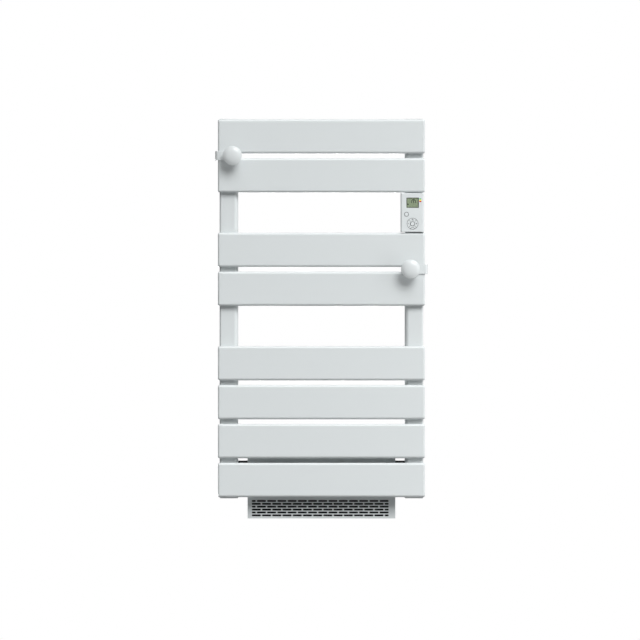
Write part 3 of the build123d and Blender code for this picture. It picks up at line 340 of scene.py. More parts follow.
def settle(name, mesh, tree, values, slot, body, replaces, material, edge):
    # runs the modifiers once, keeps their result as a plain mesh and lets it ride on a body
    material = material or finishes[slot]
    holder = bpy.data.objects.new(name, mesh)
    scene.collection.objects.link(holder)
    if tree:
        modifier = holder.modifiers.new("shape", "NODES")
        modifier.node_group = tree
        setInputs(modifier, {**values, "Material": material})
    if edge:
        bevel = holder.modifiers.new("edges", "BEVEL")
        bevel.width = edge  # at most: Blender narrows it for the whole piece where edges are short
        bevel.segments = edgeValues["segments"]
        bevel.limit_method = "WEIGHT" if "bevel_weight_edge" in mesh.attributes else "ANGLE"
        bevel.angle_limit = radians(edgeValues["angle"])
        modifier = holder.modifiers.new("hard", "NODES")
        modifier.node_group = edgesTree
        setInputs(modifier, {"Material": material})
    weighted = holder.modifiers.new("flatFaces", "WEIGHTED_NORMAL")
    weighted.keep_sharp = True
    evaluated = holder.evaluated_get(bpy.context.evaluated_depsgraph_get())
    result = bpy.data.meshes.new_from_object(evaluated)
    holder.modifiers.clear()
    holder.data = result
    bpy.data.meshes.remove(mesh)
    result.name = name
    for extra in ("turn", "inset", "along", "bevel_weight_edge"):
        if extra in result.attributes:
            result.attributes.remove(result.attributes[extra])
    if not result.materials:
        result.materials.append(material)
    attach(holder, body)
    if replaces:
        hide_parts(*replaces)
    return holder


def grow(name, tree, values, slot, body, lines=(), places=((0, 0, 0),), turns=None, insets=None, replaces=(),
         material=None, edge=0):
    # one piece from a tree: a line of points for its path or profile, and a loose point for each copy
    mesh = bpy.data.meshes.new(name)
    places = [tuple(p) for p in places]
    mesh.from_pydata([tuple(p) for p in lines] + places, [(n, n + 1) for n in range(len(lines) - 1)], [])
    turnValues = [(0, 0, 0)] * len(lines) + list(turns or [(0, 0, 0)] * len(places))
    turn = mesh.attributes.new("turn", "FLOAT_VECTOR", "POINT")
    turn.data.foreach_set("vector", [value for item in turnValues for value in item])
    inset = mesh.attributes.new("inset", "FLOAT", "POINT")
    inset.data.foreach_set("value", list(insets or [0] * len(lines)) + [0] * len(places))
    return settle(name, mesh, tree, values, slot, body, replaces, material, edge)


def mergedCopy(node, dissolve=True):  # a CAD node's mesh with its loose triangles joined
    mesh = nodes[node].data.copy()
    shape = bmesh.new()
    shape.from_mesh(mesh)
    bmesh.ops.remove_doubles(shape, verts=shape.verts, dist=edgeValues["mergeWithin"])
    if dissolve:
        bmesh.ops.dissolve_limit(shape, angle_limit=radians(edgeValues["flatWithin"]), verts=shape.verts,
                                 edges=shape.edges)
    shape.to_mesh(mesh)
    shape.free()
    for extra in [a.name for a in mesh.attributes if "normal" in a.name or a.name.startswith("UV")]:
        mesh.attributes.remove(mesh.attributes[extra])
    return mesh


def markEdges(mesh):  # the edges to break: sharp ones, clear of any edge that more than two faces share
    shape = bmesh.new()
    shape.from_mesh(mesh)
    weight = shape.edges.layers.float.new("bevel_weight_edge")
    for edge in shape.edges:
        clear = all(other.is_manifold for vertex in edge.verts for other in vertex.link_edges)
        edge[weight] = float(clear and edge.calc_face_angle(0) > radians(edgeValues["angle"]))
    shape.to_mesh(mesh)
    shape.free()


def soften(name, node, edge, body="radiator", material=None):  # the CAD part's shape, its sharp edges broken
    mesh = mergedCopy(node)
    mesh.materials.clear()
    markEdges(mesh)
    return settle(name, mesh, None, {}, slotOf[node], body, [node], material, edge)


def roundedPath(points, radii, steps=8):  # a polyline in which each corner is an arc
    points = [Vector(p) for p in points]
    path = [points[0]]
    for n in range(1, len(points) - 1):
        radius = radii[n - 1]
        back = (points[n - 1] - points[n]).normalized()
        ahead = (points[n + 1] - points[n]).normalized()
        half = back.angle(ahead) / 2
        if radius <= 0 or half > radians(89.9):  # a plain corner, or a point on a straight run
            path.append(points[n])
            continue
        centre = points[n] + (back + ahead).normalized() * radius / sin(half)
        first = points[n] + back * radius / tan(half) - centre
        last = points[n] + ahead * radius / tan(half) - centre
        sweep = pi - 2 * half
        for step in range(steps + 1):
            share = step / steps * sweep
            arm = first * (sin(sweep - share) / sin(sweep)) + last * (sin(share) / sin(sweep))
            path.append(centre + arm)
    path.append(points[-1])
    return [tuple(p) for p in path]


def roundEnds(path, startRadius, endRadius, steps=5):  # the path's points and insets, both ends rounded over
    path = [Vector(p) for p in path]

    def turnIn(end, ahead, radius):
        way = (ahead - end).normalized()
        angles = [n / steps * pi / 2 for n in range(steps + 1)]
        return [(end + way * (radius * (1 - cos(a))), radius * (1 - sin(a))) for a in angles]

    spine = (turnIn(path[0], path[1], startRadius) + [(p, 0) for p in path[1:-1]]
             + turnIn(path[-1], path[-2], endRadius)[::-1])
    return [tuple(p) for p, _ in spine], [inset for _, inset in spine]


sweptTree = makeSweptTree()
turnedTree = makeTurnedTree()
screwTree = makeScrewTree()
slottedSheetTree = makeSlottedSheetTree()
edgesTree = makeEdgesTree()
print("trees ready")


# Finishes


def newFinish(name, **constants):
    material = bpy.data.materials.new(name)
    graph = emptyGraph(material)
    named = {key.replace("_", " "): value for key, value in constants.items()}
    surface = graph.add("ShaderNodeBsdfPrincipled", None, named)
    graph.add("ShaderNodeOutputMaterial", None, {"Surface": surface})
    place = graph.add("ShaderNodeTexCoord")["Object"]
    return material, graph, surface.socket.node, place


def bump(graph, height, strength, distance):
    return graph.add("ShaderNodeBump", None, {"Strength": strength, "Distance": distance, "Height": height})


def outsideOf(spot, lows, highs, skin):  # 1 on the outer skin of a box, 0 further in
    axes = [spot[name] for name in "XYZ"]
    beyond = [(low + skin - axis).larger(axis - (high - skin)) for axis, low, high in zip(axes, lows, highs)]
    return beyond[0].larger(beyond[1]).larger(beyond[2]) > 0


# inside, insideRougher and skin: the painted shade on the inner faces of the blower box, near-black and
# rougher
enamelValues = {"colour": (0.63, 0.664, 0.67, 1), "drift": (0.615, 0.65, 0.656, 1), "driftScale": 7,
                "roughness": 0.34, "roughnessSpread": 0.08, "peel": 620, "peelStrength": 0.12,
                "peelDepth": 0.06 * mm, "inside": (0.012, 0.012, 0.012, 1), "insideRougher": 0.4,
                "skin": 0.2 * mm}


def enamelFinish(name, box=None, shine=0.35):  # white stove enamel: faint orange peel, slow drift of tone, and painted shade on the inner faces of a given box
    values = enamelValues
    material, graph, surface, place = newFinish(name, Specular_IOR_Level=shine)
    slow = graph.noise(place, values["driftScale"], 3)
    peel = graph.noise(place, values["peel"], 1)
    colour = graph.mix(slow, values["colour"], values["drift"])
    roughness = values["roughness"] + values["roughnessSpread"] * slow
    if box:  # the box's inner faces get a near-black colour, painted shade that keeps its outlet slots dark
        outer = outsideOf(graph.split(place), *box, values["skin"])
        colour = graph.mix(outer, values["inside"], colour)
        roughness = roughness + (1 - outer) * values["insideRougher"]
    graph.feed(surface, {"Base Color": colour, "Roughness": roughness,
                         "Normal": bump(graph, peel, values["peelStrength"], values["peelDepth"])})
    return material


plasticValues = {"driftScale": 14, "roughnessSpread": 0.1, "grainStrength": 0.25}


def moulded(graph, place, colour, shade, roughness, grain, depth):  # what a moulded surface is fed
    values = plasticValues
    slow = graph.noise(place, values["driftScale"], 2)
    fine = graph.noise(place, grain, 2)
    return {"Base Color": graph.mix(slow, (*colour, 1), (*shade, 1)),
            "Roughness": roughness + values["roughnessSpread"] * fine,
            "Normal": bump(graph, fine, values["grainStrength"], depth * mm)}


def plasticFinish(name, colour, shade, roughness, grain, depth, shine=0.5):
    material, graph, surface, place = newFinish(name, Specular_IOR_Level=shine)
    graph.feed(surface, moulded(graph, place, colour, shade, roughness, grain, depth))
    return material


metalValues = {"driftScale": 30, "roughnessSpread": 0.18, "brushStrength": 0.2, "brushDepth": 0.04 * mm}


def metalFinish(name, colour, shade, roughness, grain, stretch=(1, 1, 1)):  # brushed where it is stretched
    values = metalValues
    material, graph, surface, place = newFinish(name, Metallic=1.0)
    fine = graph.noise(graph.vector("MULTIPLY", place, stretch), grain, 4)
    slow = graph.noise(place, values["driftScale"], 3)
    graph.feed(surface, {
        "Base Color": graph.mix(slow, (*colour, 1), (*shade, 1)),
        "Roughness": roughness + values["roughnessSpread"] * fine,
        "Normal": bump(graph, fine, values["brushStrength"], values["brushDepth"]),
    })
    return material


def nodeCentre(node):
    low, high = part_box(node)
    return (low + high) / 2


def nearLine(distance, width):  # 1 within half a line's width
    return distance.size() < width / 2


def fromCentre(x, z):
    return (x * x + z * z).root()


def circleLine(x, z, radius, width):
    return nearLine(fromCentre(x, z) - radius, width)


# colour, shade, roughness, grain and the grain's depth in mm
whitePlastic = ((0.64, 0.674, 0.68), (0.63, 0.664, 0.67), 0.42, 2600, 0.03)
controlMarks = {"ink": (0.07, 0.075, 0.08, 1), "facing": 0.6, "line": 1.05 * mm, "modeRadius": 4.9 * mm,
                "ringRadius": 13.3 * mm, "ringLine": 0.75 * mm, "okRadius": 5.05 * mm, "keyMark": 3.6 * mm,
                "markFromCentre": 10 * mm, "arrowSlope": 0.62, "arrowBase": 1.75, "baseLine": 0.8,
                "bowRadius": 6.2 * mm, "bowTop": 9.2 * mm, "bowEnd": 11.8 * mm, "dotRadius": 1.3 * mm,
                "dotInward": 0.4, "dashHalf": 0.7}


def printedFinish():  # white plastic with grey outlines and plain marks printed round the keys
    marks = controlMarks
    material, graph, surface, spot = newFinish("printedWhite")
    where = graph.split(spot)
    mode = nodeCentre("mode_button")
    ok = nodeCentre("ok_button")
    x = where["X"] - ok.x
    z = where["Z"] - ok.z
    line = marks["line"]
    reach = marks["markFromCentre"]
    half = marks["keyMark"] / 2
    ink = circleLine(where["X"] - mode.x, where["Z"] - mode.z, marks["modeRadius"], line)
    ink = ink.larger(circleLine(x, z, marks["ringRadius"], marks["ringLine"]))
    ink = ink.larger(circleLine(x, z, marks["okRadius"], line))
    peak = reach + half - z  # an arrowhead on the upper key
    arrow = nearLine(x.size() - peak * marks["arrowSlope"], line) * (peak > 0) * (peak < half * 2)
    base = nearLine(peak - half * marks["arrowBase"], line * marks["baseLine"]) * (x.size() < half)
    radius = marks["bowRadius"]  # a bow on the lower key
    bow = circleLine(x, z + marks["bowTop"] + radius, radius, line) * (z > -marks["bowEnd"])
    dot = fromCentre(x - reach + half * marks["dotInward"], z) < marks["dotRadius"]
    dash = nearLine(z, line) * ((x + reach).size() < half * marks["dashHalf"])
    for mark in (arrow, base, bow, dot, dash):
        ink = ink.larger(mark)
    facing = graph.split(graph.add("ShaderNodeTexCoord")["Normal"])["Y"] < -marks["facing"]
    inputs = moulded(graph, spot, *whitePlastic)
    inputs["Base Color"] = graph.mix(ink * facing, inputs["Base Color"], marks["ink"])
    graph.feed(surface, inputs)
    return material


# rim and the two widths after it: painted shade along the window's edges
displayValues = {"glass": (0.285, 0.355, 0.22, 1), "rim": (0.1, 0.12, 0.08, 1),
                 "ink": (0.006, 0.007, 0.005, 1), "cells": 900, "cellShade": 0.94, "roughness": 0.3,
                 "roughnessSpread": 0.1, "rimWide": 1.5 * mm, "rimSoft": 1.4 * mm, "viewWide": 30.2 * mm,
                 "viewTall": 24.9 * mm, "symbolRight": 2.1 * mm, "symbolUp": 2.8 * mm,
                 "symbolRadius": 4.8 * mm, "symbolFoot": 3.4 * mm, "symbolLine": 1.8 * mm,
                 "symbolClear": 0.8 * mm, "sway": 0.4 * mm, "swayPerMetre": 1400, "dotLeft": 11.2 * mm,
                 "dotDown": 3.8 * mm, "dotRadius": 1.7 * mm}


def displayFinish():  # grey-green liquid crystal with painted shade along the window's edges, a plain heating symbol and a dot
    values = displayValues
    material, graph, surface, spot = newFinish("displayGreen")
    where = graph.split(spot)
    centre = nodeCentre("display_lens")
    x = where["X"] - centre.x
    z = where["Z"] - centre.z
    side = values["viewWide"] / 2 - x.size()
    end = values["viewTall"] / 2 - z.size()
    # rim: painted shade, the crystal darkened towards the window's edges
    fromEdge = -((-side).larger(-end))
    edgeShadeEnd = values["rimWide"]
    rim = graph.add("ShaderNodeMapRange", {"interpolation_type": "SMOOTHSTEP"},
                    {"Value": fromEdge, "From Min": edgeShadeEnd + values["rimSoft"], "From Max": edgeShadeEnd})
    symbolX = x - values["symbolRight"]  # an arch over three strokes of rising heat
    symbolZ = z - values["symbolUp"]
    arch = values["symbolRadius"]
    stroke = values["symbolLine"]
    clear = values["symbolClear"]
    ink = circleLine(symbolX, symbolZ, arch, stroke) * (symbolZ > clear * 2)
    sway = symbolZ.maths("SINE", symbolZ * values["swayPerMetre"]) * values["sway"]
    for offset, top in ((-arch, clear), (0, arch - stroke / 2 - clear), (arch, clear)):
        column = nearLine(symbolX - offset - sway, stroke) * (symbolZ > -values["symbolFoot"])
        ink = ink.larger(column * (symbolZ < top))
    ink = ink.larger(fromCentre(x + values["dotLeft"], z + values["dotDown"]) < values["dotRadius"])
    cells = graph.noise(spot, values["cells"], 1)
    darker = tuple(c * values["cellShade"] for c in values["glass"][:3]) + (1,)
    glass = graph.mix(cells, values["glass"], darker)
    graph.feed(surface, {
        "Base Color": graph.mix(ink, graph.mix(rim, glass, values["rim"]), values["ink"]),
        "Roughness": values["roughness"] + values["roughnessSpread"] * cells,
    })
    return material


lightValues = {"green": (0.12, 0.46, 0.24, 1), "yellow": (0.9, 0.82, 0.1, 1), "red": (0.5, 0.0, 0.03, 1),
               "glow": 0.22, "halfMiddle": 1.5 * mm, "haze": 700, "roughness": 0.18,
               "roughnessSpread": 0.12}


def lightsFinish():  # three light pipes, told apart by height
    values = lightValues
    material, graph, surface, spot = newFinish("lightPipes", Emission_Strength=values["glow"])
    height = graph.split(spot)["Z"] - nodeCentre("status_lights").z
    lower = graph.mix(height > -values["halfMiddle"], values["red"], values["yellow"])
    colour = graph.mix(height > values["halfMiddle"], lower, values["green"])
    haze = graph.noise(spot, values["haze"], 2)
    graph.feed(surface, {"Base Color": colour, "Emission Color": colour,
                         "Roughness": values["roughness"] + values["roughnessSpread"] * haze})
    return material


lensValues = {"colour": (0.1, 0.12, 0.1, 1), "alpha": 0.08, "haze": 500, "roughness": 0.05,
              "roughnessSpread": 0.06}


def lensFinish():  # clear acrylic, with the fine haze of a moulded face
    values = lensValues
    material, graph, surface, spot = newFinish("lensClear", Base_Color=values["colour"],
                                               Alpha=values["alpha"])
    haze = graph.noise(spot, values["haze"], 2)
    graph.feed(surface, {"Roughness": values["roughness"] + values["roughnessSpread"] * haze})
    return material


plastics = {  # slot: name, colour, shade, roughness, grain, its depth in mm, and any other shine than 0.5
    "white_plastic": ("plasticWhite", *whitePlastic),
    "hook_white": ("glossWhite", (0.63, 0.662, 0.667), (0.62, 0.652, 0.657), 0.12, 300, 0.005, 0.24),
    "dark_steel": ("powderBlack", (0.018, 0.018, 0.019), (0.03, 0.03, 0.031), 0.5, 1500, 0.1),
    # the duct sheets and heater fins are near-black: painted shade that keeps the outlet slots dark
    "duct_sheet": ("shadeBlackSheet", (0.012, 0.012, 0.012), (0.02, 0.02, 0.021), 0.6, 900, 0.04, 0.1),
    "heater_aluminium": ("shadeBlackFins", (0.01, 0.01, 0.01), (0.014, 0.014, 0.014), 0.6, 700, 0.03, 0.12),
    "black_rubber": ("rubberBlack", (0.02, 0.02, 0.02), (0.03, 0.03, 0.03), 0.7, 1100, 0.1),
    "heater_plastic": ("mouldedBlack", (0.012, 0.011, 0.01), (0.018, 0.017, 0.016), 0.6, 1500, 0.1, 0.12),
    "filter_plastic": ("filterGrey", (0.06, 0.065, 0.07), (0.08, 0.085, 0.09), 0.5, 1500, 0.1),
    "gland_grey": ("glandGrey", (0.35, 0.37, 0.38), (0.32, 0.34, 0.35), 0.4, 1500, 0.1),
    "heating_silicone": ("siliconeRed", (0.3, 0.06, 0.03), (0.26, 0.05, 0.03), 0.6, 900, 0.1),
    "wire_insulation": ("cableGrey", (0.6, 0.61, 0.6), (0.55, 0.56, 0.55), 0.4, 1200, 0.1),
    "board_green": ("boardGreen", (0.02, 0.12, 0.05), (0.02, 0.1, 0.04), 0.4, 900, 0.1),
    "switch_black": ("switchBlack", (0.02, 0.02, 0.02), (0.03, 0.03, 0.03), 0.4, 900, 0.1),
}
metals = {  # slot: name, colour, shade, roughness, grain, and how the grain is stretched
    "zinc_steel": ("zincPlate", (0.62, 0.62, 0.58), (0.52, 0.53, 0.5), 0.22, 900),
    "fan_aluminium": ("fanAluminium", (0.42, 0.43, 0.44), (0.35, 0.36, 0.37), 0.45, 500, (0.1, 1, 1)),
    "shaft_steel": ("groundSteel", (0.45, 0.45, 0.46), (0.4, 0.4, 0.41), 0.2, 900, (6, 1, 1)),
    "bronze": ("sinteredBronze", (0.5, 0.32, 0.14), (0.4, 0.25, 0.11), 0.45, 1800),
}
finishes = {slot: plasticFinish(*numbers) for slot, numbers in plastics.items()}
finishes.update({slot: metalFinish(*numbers) for slot, numbers in metals.items()})
finishes.update({"white_enamel": enamelFinish("enamelWhite"), "clear_lens": lensFinish(),
                 "display": displayFinish(), "light_pipe": lightsFinish()})
printedWhite = printedFinish()
housingLow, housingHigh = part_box("blower_housing")
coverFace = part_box("blower_front_cover")[0].y
blowerBox = ((housingLow.x, coverFace, housingLow.z), tuple(housingHigh))
# white outside, with painted shade on its inner faces
blowerWhite = enamelFinish("blowerWhite", blowerBox, 0.2)
slotOf = {item["node"]: item["material_slot"] for item in frame["record"]["subparts"]}
printedNodes = ("mode_button", "ok_button", "key_up", "key_down", "key_left", "key_right")
for nodeName, nodeObject in nodes.items():
    for materialSlot in nodeObject.material_slots:
        materialSlot.material = printedWhite if nodeName in printedNodes else finishes[slotOf[nodeName]]
print("finishes ready")


# Slats and collectors

slatValues = {"frontRadius": 6 * mm, "backRadius": 5 * mm, "endRadius": 4 * mm, "seam": 0.25 * mm}


def buildSlats():
    values = slatValues
    shape = {"Corner Steps": 6, "Radius A": values["backRadius"], "Radius D": values["backRadius"],
             "Radius B": values["frontRadius"], "Radius C": values["frontRadius"]}
    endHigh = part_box("slat_end_caps")[1]
    centres = []
    for n in range(1, 9):
        low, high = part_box(f"slat_{n}")
        centre = (low + high) / 2
        centres.append(centre)
        shape["Wide"] = high.y - low.y
        shape["Tall"] = high.z - low.z
        spine, insets = roundEnds([(low.x, 0, 0), (high.x, 0, 0)], values["seam"], values["seam"])
        grow(f"slatTube{n}", sweptTree, shape, "white_enamel", "radiator", spine, [(0, centre.y, centre.z)],
             insets=insets, replaces=[f"slat_{n}"])
    spine, insets = roundEnds([(high.x, 0, 0), (endHigh.x, 0, 0)], values["seam"], values["endRadius"])
    turns = [(0, 0, 0)] * len(centres) + [(0, pi, 0)] * len(centres)
    grow("slatCaps", sweptTree, shape, "white_enamel", "radiator", spine,
         [(0, c.y, c.z) for c in centres] * 2, turns, insets, ["slat_end_caps"])


collectorValues = {"innerRadius": 11 * mm, "outerRadius": 4.5 * mm, "backRadius": 4 * mm,
                   "capRadius": 2.5 * mm, "seam": 0.25 * mm}


def buildCollectors():
    values = collectorValues
    capLow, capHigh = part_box("collector_end_caps")
    for side, name in ((-1, "left"), (1, "right")):
        low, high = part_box(f"collector_{name}")
        centre = (low + high) / 2
        frontLeft, frontRight = values["outerRadius"], values["innerRadius"]
        if side > 0:
            frontLeft, frontRight = frontRight, frontLeft
        shape = {"Wide": high.x - low.x, "Tall": high.y - low.y, "Corner Steps": 7, "Radius A": frontLeft,
                 "Radius B": frontRight, "Radius C": values["backRadius"], "Radius D": values["backRadius"]}
        spine, insets = roundEnds([(0, 0, low.z), (0, 0, high.z)], values["seam"], values["seam"])
        grow(f"collectorTube_{name}", sweptTree, shape, "white_enamel", "radiator", spine,
             [(centre.x, centre.y, 0)], insets=insets, replaces=[f"collector_{name}"])
        for end, start, stop in (("top", high.z, capHigh.z), ("foot", low.z, capLow.z)):
            radii = (values["seam"], values["capRadius"])
            if end == "foot":
                start, stop = stop, start
                radii = radii[::-1]
            spine, insets = roundEnds([(0, 0, start), (0, 0, stop)], *radii)
            grow(f"collectorCap_{name}_{end}", sweptTree, shape, "white_enamel", "radiator", spine,
                 [(centre.x, centre.y, 0)], insets=insets, replaces=["collector_end_caps"])


buildSlats()
buildCollectors()
print("slats and collectors ready")


# Hooks

hookValues = {"bend": 6 * mm, "thickness": 2.5 * mm, "edge": 0.7 * mm, "endEdge": 0.66 * mm,
              "backShort": 3 * mm, "stemRadius": 8 * mm, "rim": 7.7 * mm, "rimRadius": 2.4 * mm,
              "dome": 4.3 * mm, "domeRings": 14, "flare": 2 * mm, "flatness": 0.55, "segments": 72}


def buildHook(name, side):
    values = hookValues
    low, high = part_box(f"hook_strap_{name}")
    knobLow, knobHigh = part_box(f"hook_knob_{name}")
    thick = values["thickness"]
    centreZ = (low.z + high.z) / 2
    outer = (high.x if side > 0 else low.x) - side * thick / 2
    frontEnd = low.x if side > 0 else high.x
    front = low.y + thick / 2
    back = high.y - thick / 2
    backEnd = frontEnd + side * values["backShort"]
    corners = [(frontEnd, front, 0), (outer, front, 0), (outer, back, 0), (backEnd, back, 0)]
    bend = values["bend"] - thick / 2
    spine, insets = roundEnds(roundedPath(corners, [bend, bend]), values["endEdge"], values["endEdge"], 3)
    shape = {"Wide": thick, "Tall": high.z - low.z, "Corner Steps": 3}
    shape.update({f"Radius {letter}": values["edge"] for letter in "ABCD"})
    grow(f"hookStrap_{name}", sweptTree, shape, "hook_white", f"hook_{name}", spine, [(0, 0, centreZ)],
         insets=insets, replaces=[f"hook_strap_{name}"])
    # the knob: heights are taken from the strap to the top of the dome
    total = knobHigh.y - knobLow.y
    discBack = total - values["rim"] - values["dome"]
    discFront = total - values["dome"]
    radius = (knobHigh.x - knobLow.x) / 2
    base = radius - values["rimRadius"]
    outline = roundedPath([(0, 0, 0), (values["stemRadius"], 0, 0), (values["stemRadius"], 0, discBack),
                           (radius, 0, discBack), (radius, 0, discFront), (base, 0, discFront)],
                          [0, values["flare"], values["rimRadius"], values["rimRadius"] * 0.98], 6)
    # the last radius is a little less, because its arc would end on the outline's last point
    rings = values["domeRings"]
    for n in range(1, rings + 1):  # the dome is flatter in the middle than a ball and rounder near its rim
        reach = 1 - n / rings
        drop = values["flatness"] * reach ** 2 + (1 - values["flatness"]) * reach ** 4
        outline.append((base * reach, 0, total - values["dome"] * drop))
    outline.reverse()  # from the top down, so that the faces look outwards
    centreX = (knobLow.x + knobHigh.x) / 2
    grow(f"hookKnob_{name}", turnedTree, {"Segments": values["segments"]}, "hook_white", f"hook_{name}",
         outline, [(centreX, knobHigh.y, centreZ)], [(pi / 2, 0, 0)], replaces=[f"hook_knob_{name}"])


buildHook("left", -1)
buildHook("right", 1)
print("hooks ready")


# Blower box: the slotted front, the housing behind it and the angles that carry it

blowerValues = {"edge": 0.12 * mm, "housingEdge": 0.4 * mm, "carrierEdge": 0.5 * mm,
                "filterEdge": 0.35 * mm, "motorEdge": 0.4 * mm}
sheetValues = {"Thickness": 1.2 * mm, "Left Margin": 10 * mm, "Bottom Margin": 5.3 * mm,
               "Slot Long": 22.15 * mm, "Slot High": 4.3 * mm, "Slot Bar": 2.56 * mm, "Row Pitch": 6.97 * mm,
               "Rows": 6, "Slots In Row": 13, "Return Inset": 1.4 * mm}  # named as the tree's sockets are


def buildBlower():
    values = blowerValues
    low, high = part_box("blower_front_cover")
    thickness = sheetValues["Thickness"]
    shape = {**sheetValues, "Wide": high.x - low.x, "Tall": high.z - low.z,
             "Return Depth": high.y - low.y - thickness}
    centre = ((low.x + high.x) / 2, low.y + thickness, (low.z + high.z) / 2)
    grow("outletGrille", slottedSheetTree, shape, "white_enamel", "radiator", places=[centre],
         turns=[(pi / 2, 0, 0)], replaces=["blower_front_cover"], material=blowerWhite, edge=values["edge"])
    soften("blowerShell", "blower_housing", values["housingEdge"], material=blowerWhite)
    soften("carrierAngles", "blower_carriers", values["carrierEdge"])
    soften("filterFrame", "filter_frame", values["filterEdge"], "dust_filter")
    soften("motorCan", "motor_housing", values["motorEdge"])


buildBlower()
print("blower box ready")


# Screws: cross-recessed heads wherever the frame has one

screwValues = {"recessLong": 4.2 * mm, "recessWide": 0.9 * mm, "recessDeep": 1.3 * mm, "recessShare": 0.7,
               "crown": 1.1 * mm, "crownFlat": 0.72, "crownDrop": 0.25, "tip": 1 * mm, "tipShare": 0.4,
               "radii": (0.4 * mm, 0.15 * mm, 0.1 * mm), "sameWithin": 0.1 * mm}


def looseParts(node):  # the separate solids of a CAD node, each as a list of points
    shape = bmesh.new()
    shape.from_mesh(mergedCopy(node, False))
    left = set(shape.verts)
    parts = []
    for first in shape.verts:  # in the mesh's own order, so that every run gives the same
        if first not in left:
            continue
        left.remove(first)
        front = [first]
        part = []
        while front:
            vertex = front.pop()
            part.append(vertex.co.copy())
            for edge in vertex.link_edges:
                other = edge.other_vert(vertex)
                if other in left:
                    left.remove(other)
                    front.append(other)
        parts.append(part)
    shape.free()
    return parts


def screwSizes(points):  # where a screw's head is, which way it looks, and its sizes
    near = screwValues["sameWithin"]
    lows = [min(p[n] for p in points) for n in range(3)]
    highs = [max(p[n] for p in points) for n in range(3)]
    spans = [high - low for low, high in zip(lows, highs)]
    axis = next(n for n in range(3) if abs(spans[(n + 1) % 3] - spans[(n + 2) % 3]) < near)
    middle = [(low + high) / 2 for low, high in zip(lows, highs)]

    def fromAxis(point):
        return sqrt(sum((point[n] - middle[n]) ** 2 for n in range(3) if n != axis))

    def reach(level):
        return max(fromAxis(p) for p in points if abs(p[axis] - level) < near / 2)

    lowReach, highReach = reach(lows[axis]), reach(highs[axis])
    headFirst = lowReach > highReach
    middle[axis] = lows[axis] if headFirst else highs[axis]
    way = Vector([0, 0, 0])
    way[axis] = -1 if headFirst else 1
    headRadius = max(lowReach, highReach)
    headDeep = max(abs(p[axis] - middle[axis]) for p in points if fromAxis(p) > headRadius - near)
    long = max(abs(p[axis] - middle[axis]) for p in points)
    return middle, way, headRadius, headDeep, min(lowReach, highReach), long


def buildScrews(name, node, body):
    values = screwValues
    kinds = {}
    for points in looseParts(node):
        spot, way, *sizes = screwSizes(points)  # screws of one size are copies of one mesh
        kinds.setdefault(tuple(round(size / mm, 1) for size in sizes), []).append((spot, way))
    for n, (sizes, places) in enumerate(sorted(kinds.items())):
        head, deep, shank, long = [size * mm for size in sizes]
        crown = min(values["crown"], deep * 0.5)
        outline = roundedPath([(0, 0, 0), (head * values["crownFlat"], 0, -crown * values["crownDrop"]),
                               (head, 0, -crown), (head, 0, -deep), (shank, 0, -deep),
                               (shank, 0, values["tip"] - long), (shank * values["tipShare"], 0, -long),
                               (0, 0, -long)], [head * 0.5, *values["radii"], 0, 0], 3)
        turns = [tuple(way.to_track_quat("Z", "Y").to_euler()) for _, way in places]
        shape = {"Recess Long": values["recessLong"], "Recess Wide": values["recessWide"],
                 "Recess Deep": min(values["recessDeep"], deep * values["recessShare"])}
        grow(f"{name}{n + 1}", screwTree, shape, "zinc_steel", body, outline, [spot for spot, _ in places],
             turns, replaces=[node])


buildScrews("blowerScrew", "blower_screws", "radiator")
buildScrews("controlScrew", "control_screws", "radiator")
print("screws ready")


# Control unit and wall brackets

controlValues = {"edge": 0.25 * mm}
bracketValues = {"edge": 0.4 * mm}


def buildControl():
    soften("controlCover", "control_cover", controlValues["edge"], material=printedWhite)
    soften("controlCase", "control_case", controlValues["edge"])


def buildBrackets():
    soften("wallCups", "wall_bracket_bases", bracketValues["edge"])
    soften("wallStems", "wall_bracket_stems", bracketValues["edge"])


buildControl()
buildBrackets()
print("control unit and brackets ready")


# Cable gland: a ribbed dome on a flange, and the nut inside the box

glandValues = {"bore": 4 * mm, "thread": 8 * mm, "flange": 11 * mm, "flangeLong": 5.5 * mm,
               "dome": 10 * mm, "domeLong": 13 * mm, "nut": 12 * mm, "nutLong": 5 * mm, "nutGap": 1 * mm,
               "ribs": 14, "ribDepth": 0.8 * mm, "ribsIn": 1.5 * mm, "ribsOut": 0.3 * mm, "segments": 168,
               "radii": (0.3, 0, 0.6, 0.6, 0, 0, 0.4, 0.6, 0, 4, 1)}  # mm, of each corner in turn


def buildGland():
    values = glandValues
    low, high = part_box("cable_gland")
    wall = high.x - values["flangeLong"] - values["domeLong"]
    back = low.x - wall
    nutBack = back + values["nutGap"]
    nutFront = nutBack + values["nutLong"]
    front = high.x - wall
    bore, thread, dome, flange, nut = (values[key] for key in ("bore", "thread", "dome", "flange", "nut"))
    corners = [(bore, back), (thread, back), (thread, nutBack), (nut, nutBack), (nut, nutFront),
               (thread, nutFront), (thread, 0), (flange, 0), (flange, values["flangeLong"]),
               (dome, values["flangeLong"]), (dome, front), (bore, front), (bore, back)]
    outline = roundedPath([(radius, 0, height) for radius, height in corners],
                          [radius * mm for radius in values["radii"]], 5)
    outline.reverse()  # from the top down here too
    shape = {"Segments": values["segments"], "Flutes": values["ribs"], "Flute Depth": values["ribDepth"],
             "Flutes Beyond": dome - values["ribsIn"], "Flutes Within": dome + values["ribsOut"]}
    grow("cableGland", turnedTree, shape, "gland_grey", "radiator", outline,
         [(wall, (low.y + high.y) / 2, (low.z + high.z) / 2)], [(0, pi / 2, 0)], replaces=["cable_gland"])


buildGland()
print("gland ready")


# Stage, lamps and camera

viewValues = {"centreX": -3.5 * mm, "centreZ": -28.5 * mm, "distance": 60.0, "width": 1.5456, "sensor": 36,
              "clipStart": 1, "clipEnd": 400}


